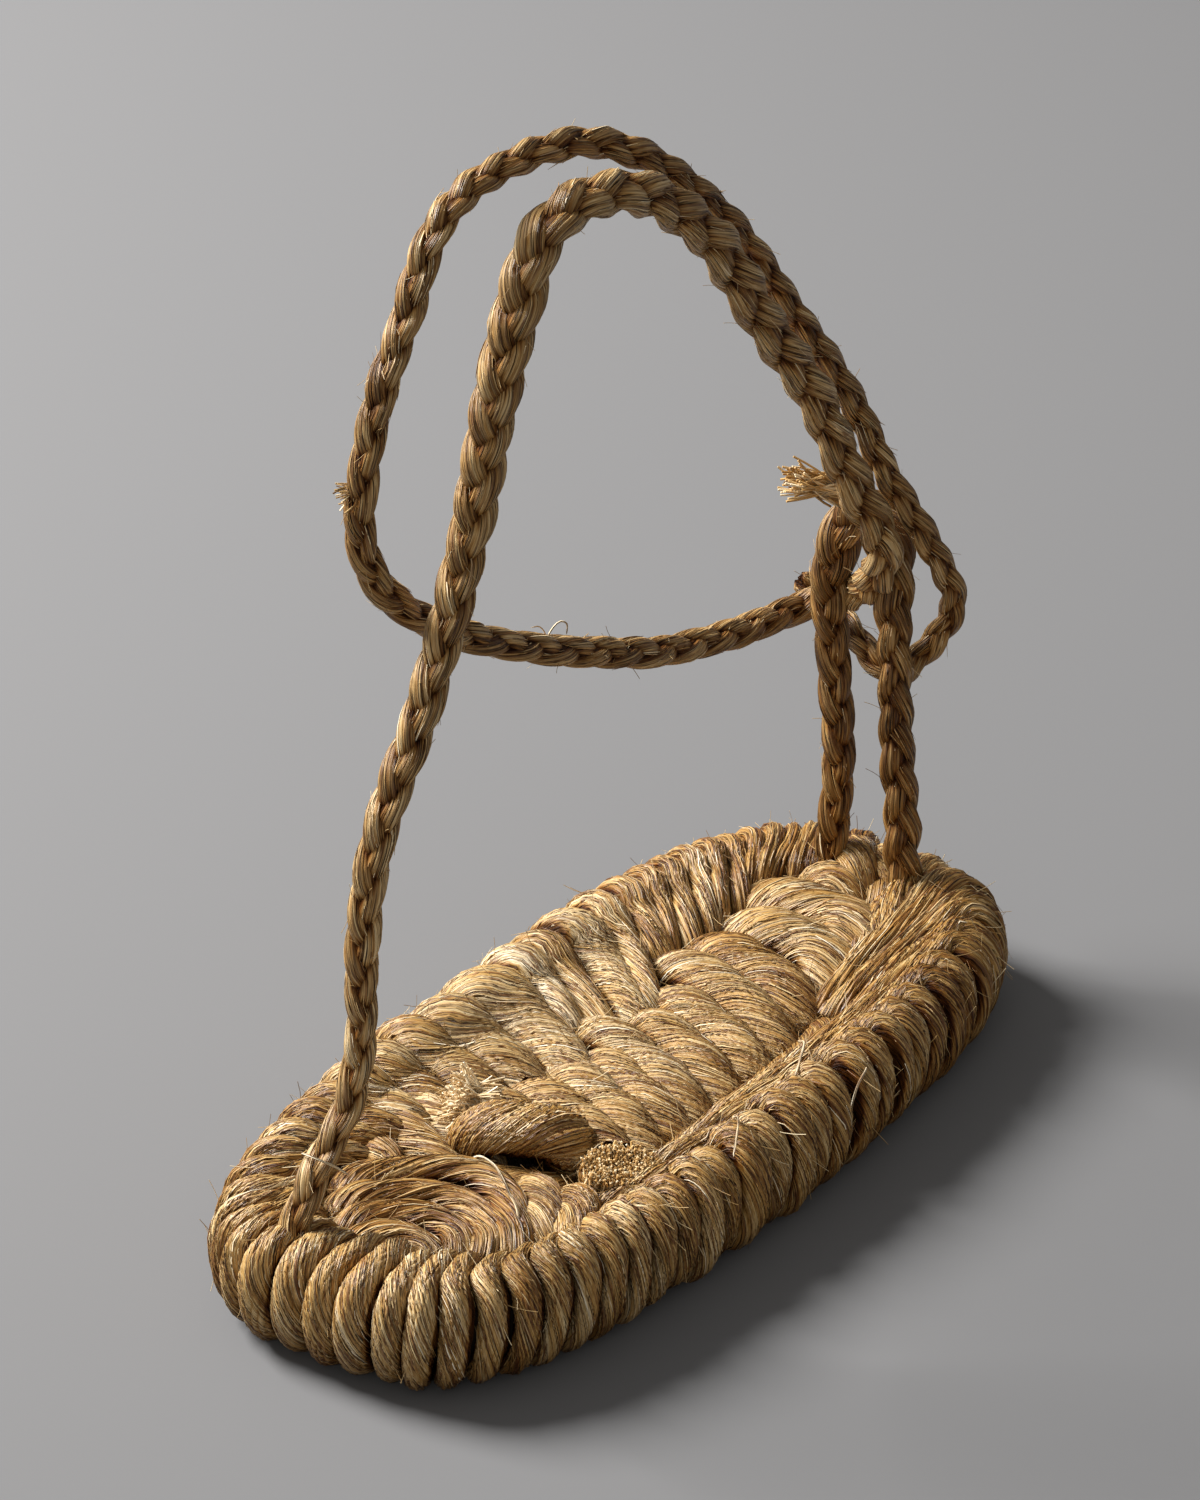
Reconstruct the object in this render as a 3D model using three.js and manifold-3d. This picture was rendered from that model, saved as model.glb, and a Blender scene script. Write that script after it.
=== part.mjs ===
// Woven straw sandal: a thick woven sole with a plaited toe cord, a heel loop and an ankle tie.
// Millimetres, +Z up, toe towards -Y, heel towards +Y, underside of the sole on z = 0.
import * as THREE from 'three';
import Module from 'manifold-3d';

const SOLE_LENGTH = 245;
const SOLE_WIDTH = 105;
const SOLE_THICKNESS = 28;
const SOLE_SQUARENESS = 3.18;
const DISH_DEPTH = 7.5;
const WEFT_RELIEF = 2.6;
const RIM_RELIEF = 2.4;
const WEFT_PITCH_ENDS = 9.8;
const WEFT_PITCH_MIDDLE = 15.5;
const WEFT_ROWS = 124;
const RING_POINTS = 2 * WEFT_ROWS;
const STRAND_SLANT = 31;
const SLANT_EASE = 78;
const FAT_WEFT_REACH = 52;
const SHOULDER = 0.92;
const DISH_CURVE = 2.6;

const CORD_TOP = 246.4;
const CORD_CLEARANCE = 0.3;
const TOE_CORD_RADIUS = 4.9;
const HEEL_CORD_RADIUS = 4.2;
const TIE_CORD_RADIUS = 3.5;
const PLAIT_PITCH = 8.7;
const PLAIT_RELIEF = 0.13;
const PLAIT_FLATNESS = 0.84;
const CORD_SIDES = 8;
const CORD_STEP = PLAIT_PITCH / 2;

const WEFT_END_RADIUS = 8.8;
const WEFT_END_LENGTH = 24;
const TUCK_RADIUS = 8.2;
const TUCK_LENGTH = 29;
const TUFT_RADIUS = 2.6;

const HALF_LENGTH = SOLE_LENGTH / 2;
const HALF_WIDTH = SOLE_WIDTH / 2;

// Camera side of the plaits: their broad face is turned to this direction.
const PLAIT_FACE = new THREE.Vector3(0.46, -0.73, 0.5).normalize();

// How far each weft strand runs towards the toe, by place across the sole.
// across: share of the half width, -1 left to +1 right; drop: share of STRAND_SLANT
const STRAND_DROP = [
  { across: -1, drop: 0 },
  { across: -0.8, drop: 0.16 },
  { across: -0.55, drop: 0.39 },
  { across: -0.26, drop: 0.58 },
  { across: 0.1, drop: 0.81 },
  { across: 0.48, drop: 1 },
  { across: 0.68, drop: 0.68 },
  { across: 0.86, drop: 0.26 },
  { across: 1, drop: 0 },
];

// The edge of the sole from its top shoulder down to the underside.
// inset: share of the thickness inside the outline; height: share of the thickness;
// relief: share of the rim relief cut between two wefts
const EDGE_PROFILE = [
  { inset: 0.25, height: 0.985, relief: 0.35 },
  { inset: 0.065, height: 0.86, relief: 0.9 },
  { inset: 0, height: 0.5, relief: 1 },
  { inset: 0.045, height: 0.17, relief: 0.8 },
  { inset: 0.16, height: 0, relief: 0.45 },
];

// The routes below are centre lines; each point is x, y, z for a sandal of the drawn sizes, and
// stretches with the sole's length and width and with the height that the cords reach.
const DRAWN = { width: 105, length: 245, height: 246.4 };

// Toe cord, from its socket at the toe over the arch and through the heel loop.
const TOE_CORD = [
  [-14.2, -111.4, 16.2], [-12.9, -106, 31.5], [-12.6, -99.5, 39.9], [-12, -91, 49],
  [-11.2, -87.6, 65], [-10.5, -88.3, 86], [-9.9, -88.2, 98.8], [-9.2, -84.6, 113.4],
  [-7.8, -72.5, 137], [-6.9, -61.5, 160.5], [-5.9, -53.4, 190], [-4.8, -43.5, 222],
  [-4.2, -36.8, 234.5], [-3.8, -26.1, 239.4], [-3.1, -0.9, 234.6], [-2.3, 27.8, 213.5],
  [-1.5, 49.9, 186.1], [-0.6, 71, 160], [2.6, 86.6, 132.4], [6.6, 94.2, 118.4], [7, 95.6, 113.6],
  [5.6, 97, 108.8], [2.3, 99, 103.8], [-5, 104.6, 96.4], [-15.4, 111.3, 88.3],
];

// Radius along the toe cord as a share of TOE_CORD_RADIUS; at: share of the route.
const TOE_CORD_TAPER = [
  { at: 0, radius: 0.8 },
  { at: 0.12, radius: 0.8 },
  { at: 0.3, radius: 0.93 },
  { at: 0.47, radius: 1.2 },
  { at: 0.6, radius: 1.12 },
  { at: 0.88, radius: 1.04 },
  { at: 0.95, radius: 0.95 },
  { at: 1, radius: 0.78 },
];

// Heel loop, up from its left socket and down into its right one.
const HEEL_LOOP = [
  [-10.9, 105.4, 14.5], [-9.8, 104, 29], [-9, 104, 48], [-11.8, 104, 78.4], [-13.9, 104, 95],
  [-12, 104.4, 107.6], [-9.9, 105, 113], [-6.7, 105.5, 116.2], [-2.6, 105.5, 115.6],
  [0.7, 105.5, 112], [3.5, 104.3, 101], [4.2, 104, 89], [5.6, 104, 67.1], [8.7, 104, 43],
  [9.3, 104, 31.2], [10.4, 105.4, 14.5],
];

const HEEL_LOOP_TAPER = [
  { at: 0, radius: 0.9 },
  { at: 0.3, radius: 0.92 },
  { at: 0.55, radius: 1 },
  { at: 1, radius: 1.02 },
];

// Ankle tie, from behind the heel loop round the ankle and back to its cut end.
const ANKLE_TIE = [
  [-15.4, 111.3, 88.3], [-20.6, 112.6, 85.8], [-24.6, 109, 84.2], [-24.8, 101, 85.4],
  [-22, 72.3, 92.4], [-20, 42.4, 101.8], [-18, -12.1, 125.6], [-18, -58.1, 152], [-18, -75, 168.5],
  [-18, -80.9, 184], [-18, -76.5, 204.7], [-18, -64.9, 225], [-18, -59.5, 235.6],
  [-18, -51.6, 242.8], [-18, -39, 246.4], [-16, -9.3, 245.1], [-12, 15, 235], [-8.6, 42.8, 211.9],
  [-4, 67.6, 180.8], [1.6, 89, 151.4], [7.4, 98.6, 131.4], [12.4, 105.6, 115.3], [14.6, 112, 99.2],
  [13.7, 113.6, 92.1], [10.2, 113.8, 85.4], [4.6, 113.2, 77.4], [-0.3, 113, 72.4],
  [-6.1, 113.4, 73.6], [-11.4, 115.2, 76.4], [-24.4, 120.7, 81.8], [-31, 118.4, 86.4],
];

const ANKLE_TIE_TAPER = [
  { at: 0, radius: 1.05 },
  { at: 0.25, radius: 0.98 },
  { at: 0.6, radius: 1.02 },
  { at: 0.8, radius: 0.95 },
  { at: 1, radius: 0.9 },
];

// Frayed tail of the heel loop, poking out beside the toe cord.
const TAIL = [
  [-4.6, 103.6, 117.4], [-6.4, 99, 121.6], [-7.6, 95, 124.6], [-9.8, 88.6, 128.6],
];

const TAIL_TAPER = [
  { at: 0, radius: 1 },
  { at: 0.5, radius: 1.1 },
  { at: 1, radius: 1.75 },
];

// A cut weft end and a tucked weft end that lie on top of the sole. across, along and height are
// shares of the half width, half length and thickness; turn and tilt are angles in radians.
const CUT_END = { across: 0.4, along: -0.31, height: 0.843, turn: -2.42, tilt: 0.26 };
const TUCKED_END = { across: -0.095, along: -0.388, height: 0.821, turn: -1.2, tilt: 0.02 };

const lookUp = (table, key, value, at) => {
  const last = table.length - 1;
  const place = THREE.MathUtils.clamp(at, table[0][key], table[last][key]);
  const next = Math.max(1, table.findIndex((row) => row[key] >= place));
  const from = table[next - 1];
  const to = table[next];
  const share = (place - from[key]) / (to[key] - from[key]);
  return THREE.MathUtils.lerp(from[value], to[value], share);
};

const wasm = await Module();
wasm.setup();

const solidFrom = (points, triangles) => {
  const vertProperties = new Float32Array(points.flatMap((p) => [p.x, p.y, p.z]));
  const triVerts = new Uint32Array(triangles.flat());
  return new wasm.Manifold(new wasm.Mesh({ numProp: 3, vertProperties, triVerts }));
};

const meshFrom = (name, solid, look) => {
  const found = solid.getMesh();
  const geometry = new THREE.BufferGeometry();
  geometry.setAttribute('position', new THREE.BufferAttribute(found.vertProperties, 3));
  geometry.setIndex(new THREE.BufferAttribute(found.triVerts, 1));
  geometry.computeVertexNormals();
  const mesh = new THREE.Mesh(geometry, new THREE.MeshStandardMaterial(look));
  mesh.name = name;
  return mesh;
};

// Sole outline as a closed ring of evenly spaced points, from the toe tip round the right side.
const outlinePoint = (angle) => {
  const power = 2 / SOLE_SQUARENESS;
  const across = Math.sin(angle);
  const along = -Math.cos(angle);
  return new THREE.Vector3(
    HALF_WIDTH * Math.sign(across) * Math.abs(across) ** power,
    HALF_LENGTH * Math.sign(along) * Math.abs(along) ** power,
    0,
  );
};

const makeRing = () => {
  const dense = 1440;
  const samples = [];
  for (let i = 0; i < dense; i += 1) {
    samples.push(outlinePoint((i / dense) * 2 * Math.PI));
  }
  const curve = new THREE.CatmullRomCurve3(samples, true, 'chordal');
  curve.arcLengthDivisions = 4 * dense;
  const ring = [];
  for (let k = 0; k < RING_POINTS; k += 1) {
    const point = curve.getPointAt(k / RING_POINTS);
    const tangent = curve.getTangentAt(k / RING_POINTS);
    ring.push({ point, outward: new THREE.Vector3(tangent.y, -tangent.x, 0).normalize() });
  }
  return ring;
};

// Wefts are narrow at toe and heel and fat in the middle; crest is 1 on a weft and 0 between two.
const weftPitch = (y) => {
  const middle = Math.exp(-((y / FAT_WEFT_REACH) ** 2));
  return THREE.MathUtils.lerp(WEFT_PITCH_ENDS, WEFT_PITCH_MIDDLE, middle);
};

const crestAlong = (ring) => {
  const crest = [];
  let phase = 0;
  for (let k = 0; k <= RING_POINTS / 2; k += 1) {
    crest.push(0.5 + 0.5 * Math.cos(2 * Math.PI * phase));
    const next = ring[k + 1].point;
    phase += ring[k].point.distanceTo(next) / weftPitch(next.y);
  }
  return crest;
};

const roundness = (x, y) => {
  const n = SOLE_SQUARENESS;
  return ((Math.abs(x) / HALF_WIDTH) ** n + (Math.abs(y) / HALF_LENGTH) ** n) ** (1 / n);
};

const topHeight = (x, y) => {
  const rim = Math.min(1, roundness(x, y) / SHOULDER);
  return SOLE_THICKNESS - DISH_DEPTH * (1 - rim ** DISH_CURVE);
};

// The strands fall straight across at toe and heel and keep their full slant in between.
const slantShare = (y) => {
  const toe = THREE.MathUtils.smoothstep(y, -HALF_LENGTH, -HALF_LENGTH + SLANT_EASE);
  const heel = 1 - THREE.MathUtils.smoothstep(y, HALF_LENGTH - SLANT_EASE, HALF_LENGTH);
  return toe * heel;
};

const makeSole = (lift) => {
  const ring = makeRing();
  const crest = crestAlong(ring);
  const crestAt = (k) => crest[Math.min(k, RING_POINTS - k)];
  const points = [];
  const triangles = [];
  const edgeRows = EDGE_PROFILE.map((step) => ring.map(({ point, outward }, k) => {
    const valley = (1 - crestAt(k)) * step.relief * RIM_RELIEF;
    const inset = step.inset * SOLE_THICKNESS + valley;
    const onTop = step.height > 0.9;
    const sink = onTop ? (1 - crestAt(k)) * WEFT_RELIEF * 0.8 : 0;
    const place = point.clone().addScaledVector(outward, -inset);
    place.z = step.height * SOLE_THICKNESS - sink + (onTop ? lift : 0);
    return points.push(place) - 1;
  }));
  for (let row = 0; row + 1 < edgeRows.length; row += 1) {
    for (let k = 0; k < RING_POINTS; k += 1) {
      const next = (k + 1) % RING_POINTS;
      const [a, b] = [edgeRows[row][k], edgeRows[row][next]];
      const [c, d] = [edgeRows[row + 1][k], edgeRows[row + 1][next]];
      triangles.push([a, c, d], [a, d, b]);
    }
  }
  const inner = STRAND_DROP.slice(1, -1).reverse();
  const strandRow = (k) => {
    const right = points[edgeRows[0][k]];
    const left = points[edgeRows[0][RING_POINTS - k]];
    const between = inner.map(({ across, drop }) => {
      const x = THREE.MathUtils.lerp(left.x, right.x, (across + 1) / 2);
      const y = right.y - drop * STRAND_SLANT * slantShare(right.y);
      const z = topHeight(x, y) - (1 - crestAt(k)) * WEFT_RELIEF + lift;
      return points.push(new THREE.Vector3(x, y, z)) - 1;
    });
    return [edgeRows[0][k], ...between, edgeRows[0][RING_POINTS - k]];
  };
  const middle = RING_POINTS / 2;
  let before = strandRow(1);
  for (let i = 0; i + 1 < before.length; i += 1) {
    triangles.push([edgeRows[0][0], before[i], before[i + 1]]);
  }
  for (let k = 2; k < middle; k += 1) {
    const row = strandRow(k);
    for (let i = 0; i + 1 < row.length; i += 1) {
      triangles.push([before[i], row[i], row[i + 1]], [before[i], row[i + 1], before[i + 1]]);
    }
    before = row;
  }
  for (let i = 0; i + 1 < before.length; i += 1) {
    triangles.push([before[i], edgeRows[0][middle], before[i + 1]]);
  }
  const base = edgeRows[edgeRows.length - 1];
  triangles.push([base[0], base[RING_POINTS - 1], base[1]]);
  for (let k = 1; k + 1 < middle; k += 1) {
    const [a, b] = [base[k], base[k + 1]];
    const [c, d] = [base[RING_POINTS - k], base[RING_POINTS - k - 1]];
    triangles.push([a, c, d], [a, d, b]);
  }
  triangles.push([base[middle - 1], base[middle + 1], base[middle]]);
  return solidFrom(points, triangles);
};

// Sweeps a closed cord along a route. A plait swings its bulges from edge to edge of its broad
// face; a laid rope carries two raised strands round in a helix.
const makeCord = (route, cordRadius, taper, laid, grow) => {
  const curve = new THREE.CatmullRomCurve3(route.map(([x, y, z]) => new THREE.Vector3(
    (x * SOLE_WIDTH) / DRAWN.width,
    (y * SOLE_LENGTH) / DRAWN.length,
    (z * CORD_TOP) / DRAWN.height,
  )), false);
  curve.arcLengthDivisions = 2000;
  const length = curve.getLength();
  const steps = Math.round(length / CORD_STEP);
  const points = [];
  const triangles = [];
  for (let i = 0; i <= steps; i += 1) {
    const share = i / steps;
    const tangent = curve.getTangentAt(share);
    const centre = curve.getPointAt(share);
    if (i === 0) centre.addScaledVector(tangent, -grow);
    if (i === steps) centre.addScaledVector(tangent, grow);
    const broad = new THREE.Vector3().crossVectors(tangent, PLAIT_FACE).normalize();
    const thin = new THREE.Vector3().crossVectors(tangent, broad).normalize();
    const radius = cordRadius * lookUp(taper, 'at', 'radius', share);
    for (let side = 0; side < CORD_SIDES; side += 1) {
      const angle = (side / CORD_SIDES) * 2 * Math.PI;
      const swing = Math.cos(Math.PI * i) * Math.cos(angle);
      const helix = Math.cos(2 * angle - (i * Math.PI) / 2);
      const relief = 1 + PLAIT_RELIEF * (laid ? helix : swing);
      const reachOut = radius * relief + grow;
      const flat = laid ? 1 : PLAIT_FLATNESS;
      points.push(centre.clone()
        .addScaledVector(broad, Math.cos(angle) * reachOut)
        .addScaledVector(thin, Math.sin(angle) * reachOut * flat));
    }
  }
  for (let i = 0; i < steps; i += 1) {
    for (let side = 0; side < CORD_SIDES; side += 1) {
      const next = (side + 1) % CORD_SIDES;
      const [a, b] = [i * CORD_SIDES + side, i * CORD_SIDES + next];
      const [c, d] = [a + CORD_SIDES, b + CORD_SIDES];
      triangles.push([a, b, d], [a, d, c]);
    }
  }
  const last = steps * CORD_SIDES;
  for (let side = 1; side + 1 < CORD_SIDES; side += 1) {
    triangles.push([0, side + 1, side], [last, last + side, last + side + 1]);
  }
  return solidFrom(points, triangles);
};

const toeCord = (grow) => makeCord(TOE_CORD, TOE_CORD_RADIUS, TOE_CORD_TAPER, false, grow);
const heelLoop = (grow) => makeCord(HEEL_LOOP, HEEL_CORD_RADIUS, HEEL_LOOP_TAPER, false, grow);
const ankleTie = () => makeCord(ANKLE_TIE, TIE_CORD_RADIUS, ANKLE_TIE_TAPER, true, 0);
const tail = (grow) => makeCord(TAIL, TUFT_RADIUS, TAIL_TAPER, true, grow);
const straps = (grow) => toeCord(grow).add(heelLoop(grow)).add(tail(grow));

// A weft end is a turned body, rounded where it goes into the weave, laid down and turned.
const makeWeftEnd = (profile, place, length) => {
  const outline = profile.map(([radius, at]) => new THREE.Vector2(radius, (at - 0.5) * length));
  const lathe = new THREE.LatheGeometry(outline, 18);
  lathe.rotateX(place.tilt);
  lathe.rotateZ(place.turn);
  lathe.translate(
    place.across * HALF_WIDTH,
    place.along * HALF_LENGTH,
    place.height * SOLE_THICKNESS,
  );
  const at = lathe.getAttribute('position');
  const points = [];
  const found = new Map();
  const merged = [];
  for (let i = 0; i < at.count; i += 1) {
    const point = new THREE.Vector3().fromBufferAttribute(at, i);
    const key = [point.x, point.y, point.z].map((value) => value.toFixed(4)).join(' ');
    if (!found.has(key)) found.set(key, points.push(point) - 1);
    merged.push(found.get(key));
  }
  const index = lathe.getIndex().array;
  const triangles = [];
  for (let i = 0; i < index.length; i += 3) {
    const [a, b, c] = [merged[index[i]], merged[index[i + 1]], merged[index[i + 2]]];
    if (a !== b && b !== c && c !== a) triangles.push([a, b, c]);
  }
  return solidFrom(points, triangles);
};

const cutEndProfile = [
  [0, 0], [WEFT_END_RADIUS * 0.62, 0.06], [WEFT_END_RADIUS * 0.86, 0.25],
  [WEFT_END_RADIUS * 0.92, 0.7], [WEFT_END_RADIUS, 0.93], [WEFT_END_RADIUS * 0.9, 1], [0, 0.97],
];
const tuckedEndProfile = [
  [0, 0], [TUCK_RADIUS * 0.55, 0.06], [TUCK_RADIUS * 0.9, 0.25], [TUCK_RADIUS, 0.5],
  [TUCK_RADIUS * 0.9, 0.75], [TUCK_RADIUS * 0.55, 0.94], [0, 1],
];

const soleSolid = makeSole(0).subtract(straps(CORD_CLEARANCE));
const soleRaised = makeSole(CORD_CLEARANCE);
const strapsSolid = straps(0);
const tieSolid = ankleTie().subtract(straps(CORD_CLEARANCE));
const cutEnd = makeWeftEnd(cutEndProfile, CUT_END, WEFT_END_LENGTH).subtract(soleRaised);
const tuckedEnd = makeWeftEnd(tuckedEndProfile, TUCKED_END, TUCK_LENGTH).subtract(soleRaised);

const straw = { color: 0xac8b60, roughness: 0.85, metalness: 0 };
const cordStraw = { color: 0x9b7b55, roughness: 0.85, metalness: 0 };
const paleStraw = { color: 0xc2a678, roughness: 0.88, metalness: 0 };

const sandal = new THREE.Group();
sandal.name = 'sandal';
sandal.add(meshFrom('sole', soleSolid, straw));
sandal.add(meshFrom('upper_straps', strapsSolid, cordStraw));
sandal.add(meshFrom('ankle_tie', tieSolid, cordStraw));
sandal.add(meshFrom('weft_end_cut', cutEnd, paleStraw));
sandal.add(meshFrom('weft_end_tucked', tuckedEnd, straw));

export default sandal;
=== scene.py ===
"""A woven straw sandal: twisted wefts, and a plaited toe cord, heel loop and ankle tie.

Sizes are in millimetres and turned to metres when a mesh is made. Toe towards -Y, sole on z = 0.
"""

import math

import bpy
import numpy as np
from mathutils import Matrix, Vector


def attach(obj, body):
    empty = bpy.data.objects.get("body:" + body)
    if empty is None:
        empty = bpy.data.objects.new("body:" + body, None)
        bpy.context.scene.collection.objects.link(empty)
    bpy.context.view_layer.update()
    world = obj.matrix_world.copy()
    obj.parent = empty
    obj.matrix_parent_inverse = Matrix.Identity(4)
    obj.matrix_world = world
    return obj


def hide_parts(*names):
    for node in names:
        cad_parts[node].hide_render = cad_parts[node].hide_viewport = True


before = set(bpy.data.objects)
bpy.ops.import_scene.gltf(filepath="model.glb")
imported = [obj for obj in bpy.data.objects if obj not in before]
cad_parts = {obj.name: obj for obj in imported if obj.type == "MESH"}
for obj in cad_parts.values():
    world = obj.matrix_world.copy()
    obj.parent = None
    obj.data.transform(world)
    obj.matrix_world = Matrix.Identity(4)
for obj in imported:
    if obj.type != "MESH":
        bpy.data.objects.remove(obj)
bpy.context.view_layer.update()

MM = 0.001
HALF_LENGTH = 122.5
HALF_WIDTH = 52.5
SOLE_THICKNESS = 28.0
SOLE_MIDDLE = SOLE_THICKNESS / 2
SOLE_SQUARENESS = 3.18  # the power that squares the outline's oval
DISH_DEPTH = 7.5
SHOULDER = 0.92  # share of the way out at which the dish ends
DISH_CURVE = 2.6
CORE_INSET = 15.0  # how far inside the outline the rim's roundness has its middle
WEFT_DEPTH = 4.6  # half thickness that the rim wefts' routes are laid for
TOP_INSET = 13.5  # how far inside the outline a rim weft leaves the top
UNDER_INSET = 15.0  # how far inside it comes out below
UP = np.array([0, 0, 1.0])
PLAIT_FACE = np.array([0.46, -0.73, 0.5])  # the way that the plaits' broad side looks

rng = np.random.default_rng(2929)


# ---- the sole's form
def roundness(x, y, grow=0.0):
    """How far out a place lies in plan: 1 on the outline, 0 in the middle."""
    n = SOLE_SQUARENESS
    a = np.abs(x) / (HALF_WIDTH + grow)
    b = np.abs(y) / (HALF_LENGTH + grow)
    return (a**n + b**n) ** (1 / n)


def top_height(x, y):
    """The dished top of the sole, along the crests of its wefts."""
    out = np.minimum(1.0, roundness(x, y) / SHOULDER)
    return SOLE_THICKNESS - DISH_DEPTH * (1 - out**DISH_CURVE)


def make_outline(fine=7201, count=2401):
    """The outline as distance from the toe tip, place and outward direction."""
    angle = np.linspace(0, 2 * np.pi, fine)
    power = 2 / SOLE_SQUARENESS
    across, along = np.sin(angle), -np.cos(angle)
    x = HALF_WIDTH * np.sign(across) * np.abs(across) ** power
    y = HALF_LENGTH * np.sign(along) * np.abs(along) ** power
    u = np.concatenate([[0], np.cumsum(np.hypot(np.diff(x), np.diff(y)))])
    even = np.linspace(0, u[-1], count)
    x, y = np.interp(even, u, x), np.interp(even, u, y)
    tx, ty = np.gradient(x), np.gradient(y)
    tx[0] = tx[-1] = 1.0
    ty[0] = ty[-1] = 0.0
    size = np.hypot(tx, ty)
    return even, x, y, ty / size, -tx / size


OUTLINE = make_outline()
ROUND = OUTLINE[0][-1]


def rim(u, inset):
    """A place inside the outline, u along it from the toe tip (right side first)."""
    even, x, y, nx, ny = OUTLINE
    u = np.mod(u, ROUND)
    px, py = np.interp(u, even, x), np.interp(u, even, y)
    qx, qy = np.interp(u, even, nx), np.interp(u, even, ny)
    return px - qx * inset, py - qy * inset


def outward(points):
    """The direction out of the sole at each point."""
    x, y, _ = points.T
    far = roundness(x, y, grow=-CORE_INSET)
    pull = np.where(far > 1, 1 / np.maximum(far, 1e-6), 1.0)
    core = np.stack([x * pull, y * pull, np.full_like(x, SOLE_MIDDLE)], axis=1)
    away = points - core
    return away / np.maximum(np.linalg.norm(away, axis=1, keepdims=True), 1e-6)


# ---- routes
def smooth(points, step, fine=24):
    """A smooth curve through given points, resampled to even steps."""
    p = np.asarray(points, float)
    p = np.vstack([2 * p[0] - p[1], p, 2 * p[-1] - p[-2]])
    out = []
    for i in range(1, len(p) - 2):
        p0, p1, p2, p3 = p[i - 1 : i + 3]
        t0 = 0.0
        t1 = t0 + np.linalg.norm(p1 - p0) ** 0.5
        t2 = t1 + np.linalg.norm(p2 - p1) ** 0.5
        t3 = t2 + np.linalg.norm(p3 - p2) ** 0.5
        t = np.linspace(t1, t2, fine, endpoint=False)[:, None]
        a1 = (t1 - t) / (t1 - t0) * p0 + (t - t0) / (t1 - t0) * p1
        a2 = (t2 - t) / (t2 - t1) * p1 + (t - t1) / (t2 - t1) * p2
        a3 = (t3 - t) / (t3 - t2) * p2 + (t - t2) / (t3 - t2) * p3
        b1 = (t2 - t) / (t2 - t0) * a1 + (t - t0) / (t2 - t0) * a2
        b2 = (t3 - t) / (t3 - t1) * a2 + (t - t1) / (t3 - t1) * a3
        out.append((t2 - t) / (t2 - t1) * b1 + (t - t1) / (t2 - t1) * b2)
    dense = np.vstack(out + [p[-2][None, :]])
    s = np.concatenate([[0], np.cumsum(np.linalg.norm(np.diff(dense, axis=0), axis=1))])
    count = max(4, int(round(s[-1] / step)) + 1)
    even = np.linspace(0, s[-1], count)
    return np.stack([np.interp(even, s, dense[:, k]) for k in range(3)], axis=1)


def run_of(path):
    """Distance along a path at each of its points."""
    gaps = np.linalg.norm(np.diff(path, axis=0), axis=1)
    return np.concatenate([[0], np.cumsum(gaps)])


def unit(v):
    """Vectors brought to length 1."""
    return v / np.maximum(np.linalg.norm(v, axis=-1, keepdims=True), 1e-9)


def axes_along(path, face):
    """Direction, broad way and face way at each point of a path."""
    forward = unit(np.gradient(path, axis=0))
    face = np.broadcast_to(face, path.shape)
    up = unit(face - (face * forward).sum(1, keepdims=True) * forward)
    return forward, np.cross(forward, up), up


def lattice_noise(table, across, along):
    """Smooth noise from a table that closes on itself across and along."""
    rows, columns = table.shape
    i, j = np.floor(across).astype(int), np.floor(along).astype(int)
    f, g = across - i, along - j
    f, g = f * f * (3 - 2 * f), g * g * (3 - 2 * g)
    a = table[i % rows, j % columns]
    b = table[(i + 1) % rows, j % columns]
    c = table[i % rows, (j + 1) % columns]
    d = table[(i + 1) % rows, (j + 1) % columns]
    return (a * (1 - f) + b * f) * (1 - g) + (c * (1 - f) + d * f) * g


# ---- straw
# A strand's outer half, which has more of its points, by angle round the strand.
OUTER_START, OUTER_END, INNER_END = -0.12 * np.pi, 1.12 * np.pi, 1.88 * np.pi
NOISE_COLUMNS = 64
NOISE_RUN = 16.0  # millimetres of strand to a step of its noise
BARE_BELOW = 10  # no stray fibres grow lower than this


def even_round(sides, front):
    """Angles round a strand, closer together on the outer half."""
    near = max(6, int(sides * front))
    outer = np.linspace(OUTER_START, OUTER_END, near, endpoint=False)
    inner = np.linspace(OUTER_END, INNER_END, sides - near, endpoint=False)
    return np.concatenate([outer, inner])[None, :]


# Orange-brown stains: x, y, z, reach, strength.
STAINS = [
    (6, -112, 27, 5, 1.0), (8.5, -119, 22, 4.5, 0.8), (-15, 57, 22, 7, 0.6),
    (-24, 14, 25, 6, 0.6), (-19, 36, 22, 6, 0.45), (40, 96, 26, 16, 0.3), (44, 30, 24, 14, 0.25),
    (-10, 72, 22, 8, 0.3), (48, -30, 20, 14, 0.25), (-34, 60, 26, 10, 0.2),
    (-11, 105, 45, 20, 0.25), (7, 105, 45, 20, 0.2), (-18, -78, 180, 26, 0.2),
    (0, 112, 85, 22, 0.2),
]


def stain_at(points):
    """How strongly each point is stained."""
    stain = np.zeros(len(points))
    for x, y, z, reach, strength in STAINS:
        away = ((points - np.array([x, y, z])) ** 2).sum(1) / reach**2
        stain = np.maximum(stain, strength * np.exp(-away))
    return stain


def in_scene(name, data):
    """A new object of the scene that shows the data."""
    made = bpy.data.objects.new(name, data)
    bpy.context.scene.collection.objects.link(made)
    return made


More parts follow.
